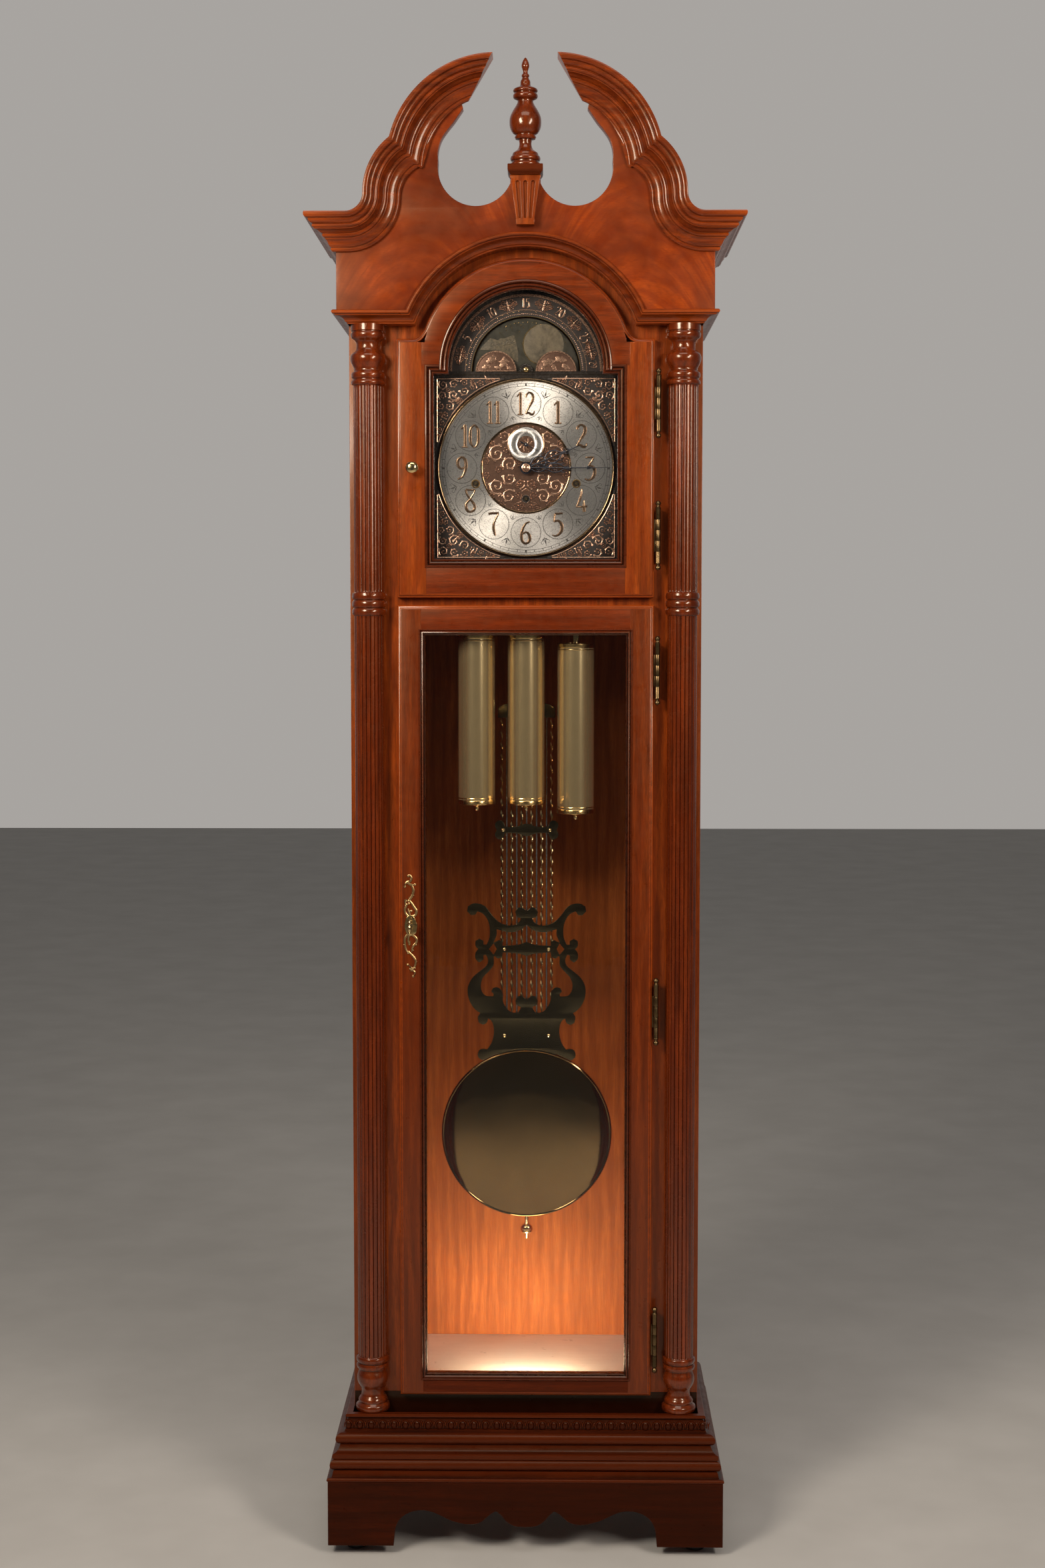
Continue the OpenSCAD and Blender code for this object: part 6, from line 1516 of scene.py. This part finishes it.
# ---------------------------------------------------------------- pendulum
PB = B("pendulum_lyre")
LO = [(0, 975.1), (6.9, 981.2), (13.5, 980.8), (18.2, 974.1), (15.4, 965.6), (8.8, 964.1), (11.7, 958.1), (19.2, 953.3), (30.5, 952.7), (43.6, 958), (54.9, 969.3), (64.3, 981.6), (73.7, 986.7), (85, 987.3),
      (92.9, 982.5), (94.1, 975), (87.9, 968.7), (81.3, 969.3), (77.5, 975), (68.1, 970.3), (61.5, 960.8), (58.3, 948.5), (58.7, 933.3), (63.4, 921.9), (68.2, 921.9), (68.2, 927.6), (74.7, 931.4), (81, 927.6),
      (81, 920), (76.6, 914.7), (81, 908.6), (81, 899.1), (74.8, 893.4), (68.2, 898.2), (68.6, 904.8), (64.4, 905.8), (61, 897.3), (64.1, 887.8), (75.8, 878.2), (86.1, 868.7), (92.8, 855.4), (93.2, 842),
      (89, 828.7), (81.5, 818.3), (73.6, 812.6), (77.4, 805.9), (75.9, 797.3), (69.3, 793.5), (63, 797.3), (61.1, 804), (56, 800.2), (52.3, 790.7), (52.3, 777.3), (56.1, 763.9), (62.7, 754.4), (68.4, 755.3),
      (74, 754), (77.5, 748.6), (76.9, 741.9), (71.2, 737.2), (62, 735.4), (30, 735.2)]
UP = [(7.9, 946.7), (17.3, 942.5), (30.5, 941.9), (47.4, 946.6), (47.4, 937.1), (51.2, 927.7), (52.1, 924.8), (50.3, 925.8), (43.7, 929.2), (38, 926.7), (38, 920.1), (13.5, 921.7)]
LW = [(13.5, 907.8), (38, 909.7), (39, 902.1), (45.6, 899.6), (51.2, 903.9), (52.2, 901.1), (52.2, 889.7), (58.8, 880.2), (68.2, 870.6), (72.4, 859.2), (71.1, 847.8), (64.5, 840.2), (53.2, 839.3), (52.2, 843.1),
      (56, 846.9), (53.5, 852.6), (46.6, 853.9), (40.9, 849.8), (38.5, 842.2), (37.7, 832.6), (32.4, 821.2), (23, 813.6), (13.6, 813.7), (8.3, 822.2), (11.7, 823.6), (16.4, 826), (17.7, 832.7), (13.6, 839.4), (7, 840)]
EN = [(59.7, 914.7), (52.1, 923.9), (47.4, 914.8), (52.2, 905.8)]


def sym(half, top, bot):
    pts = [(0, top)] + half + [(0, bot)] + [(-x, z) for x, z in half[::-1]]
    return smooth_profile(pts + [pts[0]], 3, 48)[:-1]


# the plate ends on the rim of the bob
LO = LO[:LO.index((71.2, 737.2)) + 1] + [(x, 619 + math.sqrt(136.2 ** 2 - x * x)) for x in (66, 60, 52, 44, 36, 28, 20, 12, 6)]
lo = [(0, 975.1)] + LO[1:] + [(0, 755.2)] + [(-x, z) for x, z in LO[:0:-1]]
lo = smooth_profile(lo + [lo[0]], 3, 48)[:-1]
o = plate("lyre_fine", [lo, sym(UP, 953.3, 925.9), sym(LW, 904, 833.7), EN, [(-x, z) for x, z in EN]], 1.0, 3.0, PB, BRASS_LYRE, 0.2, 35)
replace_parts(o, "pendulum_lyre")
cp = [(0, 10.4), (5, 9.0), (14, 5.7), (24, 4.6), (34, 5.2)]
lob = []
for a in range(150, -31, -15):
    lob.append((42.4 + 7.6 * math.cos(math.radians(a)), 7.4 + 7.6 * math.sin(math.radians(a))))
half = cp + lob + [(47.4, 0)]
outl = half + [(x, -z) for x, z in half[-2::-1]]
outl = outl[:-1] + [(0, -10.4)] + [(-x, z) for x, z in outl[-2:0:-1]]
o = plate("cross_plate", [[(x, 1104 + z) for x, z in outl]], 1.0, 3.0, PB, BRASS_LYRE, 0.4, 35)
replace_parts(o, "pendulum_lyre")
q = Wires()
for x, z in ((37, 1104), (35, 777), (35, 915)):
    for sg in (-1, 1):
        q.bead((sg * x, 1.0, z), 3.0, 0.5, 14, 6)
        q.block((sg * x, z), 4.6, 0.5, 35, -0.35, 0.1)
o = q.make("lyre_screws", PB, BRASS)
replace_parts(o, "pendulum_lyre")

V, F = [], []
q = Wires()
for i in range(11):
    x = -39.3 + 7.86 * i
    if i % 2 == 0:
        b0 = len(V)
        n = 354
        for k in range(n + 1):
            z = 750 + 531 * k / n
            tw = 2 * pi * (z - 750) / 36.0
            for s_ in range(8):
                a = 2 * pi * s_ / 8
                u, w = 2.35 * math.cos(a), 1.15 * math.sin(a)
                V.append(((x + u * math.cos(tw) - w * math.sin(tw)) * MM, (8 + u * math.sin(tw) + w * math.cos(tw)) * MM, z * MM))
        for k in range(n):
            for s_ in range(8):
                t_ = (s_ + 1) % 8
                F.append((b0 + k * 8 + s_, b0 + k * 8 + t_, b0 + (k + 1) * 8 + t_, b0 + (k + 1) * 8 + s_))
    else:
        q.tube([(x, 8, 750 + 531 * k / 4) for k in range(5)], 1.6, 14)
PR = B("pendulum_rods")
o = obj_from("twisted_rods", V, F, PR, BRASS, 50)
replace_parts(o, "pendulum_rods")
q.tube([(0, 8, 1307), (0, 8, 1500), (0, 8, 1706)], 2.5, 18)
o = q.make("steel_rods", PR, STEEL)
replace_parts(o, "pendulum_rods")
o = plate("pendulum_head", [[(-45, 1281), (45, 1281), (45, 1296.5), (38, 1301), (28, 1304), (18, 1305.6), (10, 1309), (-10, 1309), (-18, 1305.6), (-28, 1304), (-38, 1301), (-45, 1296.5)]], 3.5, 12.5, PR, BRASS_LYRE, 0.8, 35)
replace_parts(o, "pendulum_rods")
bbox("pendulum_foot_bar", -46, 46, 4.7, 12.5, 738, 762, PR, BRASS_LYRE, 0.6, "pendulum_rods")
bbox("suspension_block", -4, 4, 5, 11, 1704, 1721.4, PR, BRASS, 0.5, "pendulum_rods")
o = lathe("pendulum_spindle", [(0.001, 448), (2.6, 448), (3, 448.5)] + [(3.0 - 0.25 * (k % 2), 449 + 0.5 * k) for k in range(60)] + [(3, 479.5), (3, 488), (0.001, 488)], (0, 8, 0), PR, BRASS, "z", 24, 30)
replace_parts(o, "pendulum_rods")
o = lathe("bob_fine", [(0.001, -6), (121, -6), (133, -3.6), (135.1, -2.4), (135.5, 0), (135.2, 2.4), (134.3, 3.9), (133.0, 4.4), (131.9, 4.1), (131.3, 3.7)] +
          smooth_profile([(130.9, 4.4), (124, 5.9), (108, 8.1), (88, 9.9), (67, 11.3), (45, 12.1), (22, 12.5), (0.001, 12.6)], 4, 60), (0, 8, 619), B("pendulum_bob"), BRASS_BOB, "y", 200, 24)
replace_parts(o, "pendulum_bob")
o = lathe("nut_fine", smooth_profile([(3.05, 456), (5, 456.2), (8.2, 458.6), (9.3, 462), (9.4, 465), (8.8, 468), (7, 470.4), (5, 471.4), (3.05, 471.5)], 3, 70) + [(3.05, 456)], (0, 8, 0), B("rating_nut"), BRASS, "z", 96, 40,
          radial=lambda a, h, r: r * (1 + (0.022 * math.cos(28 * a) if 461 < h < 468 else 0)))
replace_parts(o, "rating_nut")

# ---------------------------------------------------------------- door furniture
LB = B("escutcheon")


def e(px, py):
    return -175 + (px - 135) * 0.1272, 1047.7 - (py - 150) * 0.1272


def stroke(W, pts, w0, w1, h=1.8):
    q = crom([Vector(e(*p)) for p in pts], 6)
    n = len(q) - 1
    W.ribbon([(p.x, p.y, w0 + (w1 - w0) * i / n + 0.9 * math.sin(pi * i / n)) for i, p in enumerate(q)], -126.1, h, 6)


W = Wires()
stroke(W, [(105, 165), (125, 158), (145, 190), (138, 215), (130, 240)], 2.2, 3.0)
stroke(W, [(120, 232), (95, 240), (72, 262), (64, 296)], 3.4, 1.2)
stroke(W, [(100, 250), (130, 268), (162, 276), (188, 268)], 3.6, 1.2)
stroke(W, [(150, 280), (168, 345), (150, 408), (118, 458), (104, 470)], 3.6, 2.6)
stroke(W, [(96, 452), (70, 462), (72, 498), (84, 520), (66, 565), (72, 612), (100, 650)], 1.6, 3.4)
stroke(W, [(120, 462), (150, 500), (176, 545), (204, 590), (188, 640), (150, 656)], 2.6, 3.4)
stroke(W, [(92, 872), (70, 910), (62, 955), (66, 1010), (80, 1058), (100, 1096)], 3.4, 2.2)
stroke(W, [(140, 872), (180, 896), (206, 935), (196, 975), (166, 1010), (150, 1050), (146, 1086)], 3.4, 2.2)
stroke(W, [(104, 1075), (130, 1104), (158, 1132), (190, 1180), (188, 1238), (160, 1284), (130, 1262), (98, 1240)], 2.8, 1.6)
stroke(W, [(116, 1284), (142, 1298), (172, 1316), (184, 1342), (160, 1382)], 2.6, 1.4)
for a_, b_ in (((164, 330), (186, 345)), ((156, 400), (180, 408)), ((132, 440), (110, 425)), ((84, 520), (62, 528)), ((176, 545), (196, 530)), ((64, 990), (44, 1000)), ((186, 990), (208, 1004)), ((152, 1060), (172, 1068)),
               ((110, 1096), (88, 1108)), ((190, 1200), (212, 1206)), ((170, 1268), (192, 1290)), ((146, 1300), (130, 1322))):
    stroke(W, [a_, ((a_[0] + b_[0]) / 2, (a_[1] + b_[1]) / 2), b_], 2.2, 0.5, 1.4)
for p in ((106, 168), (66, 296), (186, 270), (80, 470), (152, 652), (98, 1238), (162, 1378), (112, 500), (140, 590), (118, 990)):
    x, z = e(*p)
    W.bead((x, -126.6, z), 1.9, 0.6, 10, 5)
stroke(W, [(100, 560), (112, 600), (126, 650)], 2.0, 3.4)
stroke(W, [(112, 880), (104, 940), (118, 985), (128, 950)], 3.0, 1.6)
o = W.make("escutcheon_scrolls", LB, BRASS_AGED)
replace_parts(o, "escutcheon")
body = smooth_profile([e(*p) for p in ((135, 640), (168, 652), (190, 690), (204, 730), (214, 765), (206, 815), (196, 858), (150, 884), (132, 890), (112, 884), (88, 866), (68, 815), (60, 765), (68, 715), (82, 668), (104, 648), (135, 640))], 4, 80)[:-1]
o = plate("escutcheon_plate", [body], -127.8, -126.0, LB, GILT, 0.7, 35)
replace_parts(o, "escutcheon")
W = Wires()
kx, kz = -175, 969
W.ring((kx, kz), 3.4, 4.9, -127.7, 0.25, 0, 360, 40)
o = W.make("keyhole_rim", LB, BRASS)
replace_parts(o, "escutcheon")
W = Wires()
W.ring((kx, kz), 0.01, 3.4, -127.75, 0.12, 0, 360, 32)
W.block((kx, kz - 5.5), 2.4, 8, 0, -127.75, 0.12)
o = W.make("keyhole", LB, BLACK)
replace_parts(o, "escutcheon")

KB = B("door_key")
o = lathe("key_shaft", [(0.001, 0), (2, 0), (2, 26), (2.4, 27), (3.2, 28), (3.2, 29), (2.5, 30), (2.5, 30.6), (3.2, 31.4), (2.4, 32.6), (2, 33.4), (2, 34), (0.001, 34)], (-175, -111, 969), KB, BRASS, "y", 28, 30)
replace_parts(o, "door_key")
W = Wires()
for cy, cz, R_, r_ in ((-152, 969, 7.0, 2.2), (-150.6, 961.2, 3.9, 1.5), (-150.6, 976.8, 3.9, 1.5)):
    W.tube([(-175, cy + R_ * math.cos(2 * pi * i / 40), cz + R_ * math.sin(2 * pi * i / 40)) for i in range(41)], r_, 10)
o = W.make("key_bow", KB, BRASS, 50)
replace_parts(o, "door_key")
o = lathe("knob_fine", smooth_profile([(0.001, 0), (8, 0), (8, 1.4), (5, 3), (4, 6), (4.5, 9), (8, 12), (9.5, 15.5), (8.5, 19), (5, 21.4), (0.001, 22)], 4, 62), (-170, -126, 1661.6), B("upper_door_knob"), BRASS, "y", 56, 30)
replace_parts(o, "upper_door_knob")

# ---------------------------------------------------------------- lamp in the foot of the case
CREAM = paint("lamp_holder", (0.62, 0.58, 0.50), 0.4, (0.7, 0.66, 0.58), 120, 0.05)
bbox("lamp_base", -70, 70, -84, -62, 234, 240, "case", CREAM, 0.8, "interior_lamp")
for s_ in (-1, 1):
    a, b_ = sorted((s_ * 60, s_ * 70))
    bbox("lamp_end", a, b_, -82, -64, 240, 255, "case", CREAM, 1.2, "interior_lamp")
TUBE, tnt, tb = mat_new("lamp_tube")
tg = G(tnt)
tg.link(tg.ramp(tg.noise(tg.coords(), 60, 2), [(0.3, (0.9, 0.86, 0.78)), (0.7, (1.0, 0.96, 0.9))]), tb.inputs["Base Color"])
tb.inputs["Roughness"].default_value = 0.4
tb.inputs["Emission Color"].default_value = (1.0, 0.80, 0.56, 1)
tb.inputs["Emission Strength"].default_value = 360.0
o = lathe("lamp_tube", [(0.001, -60), (6, -60), (6, 60), (0.001, 60)], (0, -73, 247.5), "case", TUBE, "x", 32, 40)
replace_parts(o, "interior_lamp")
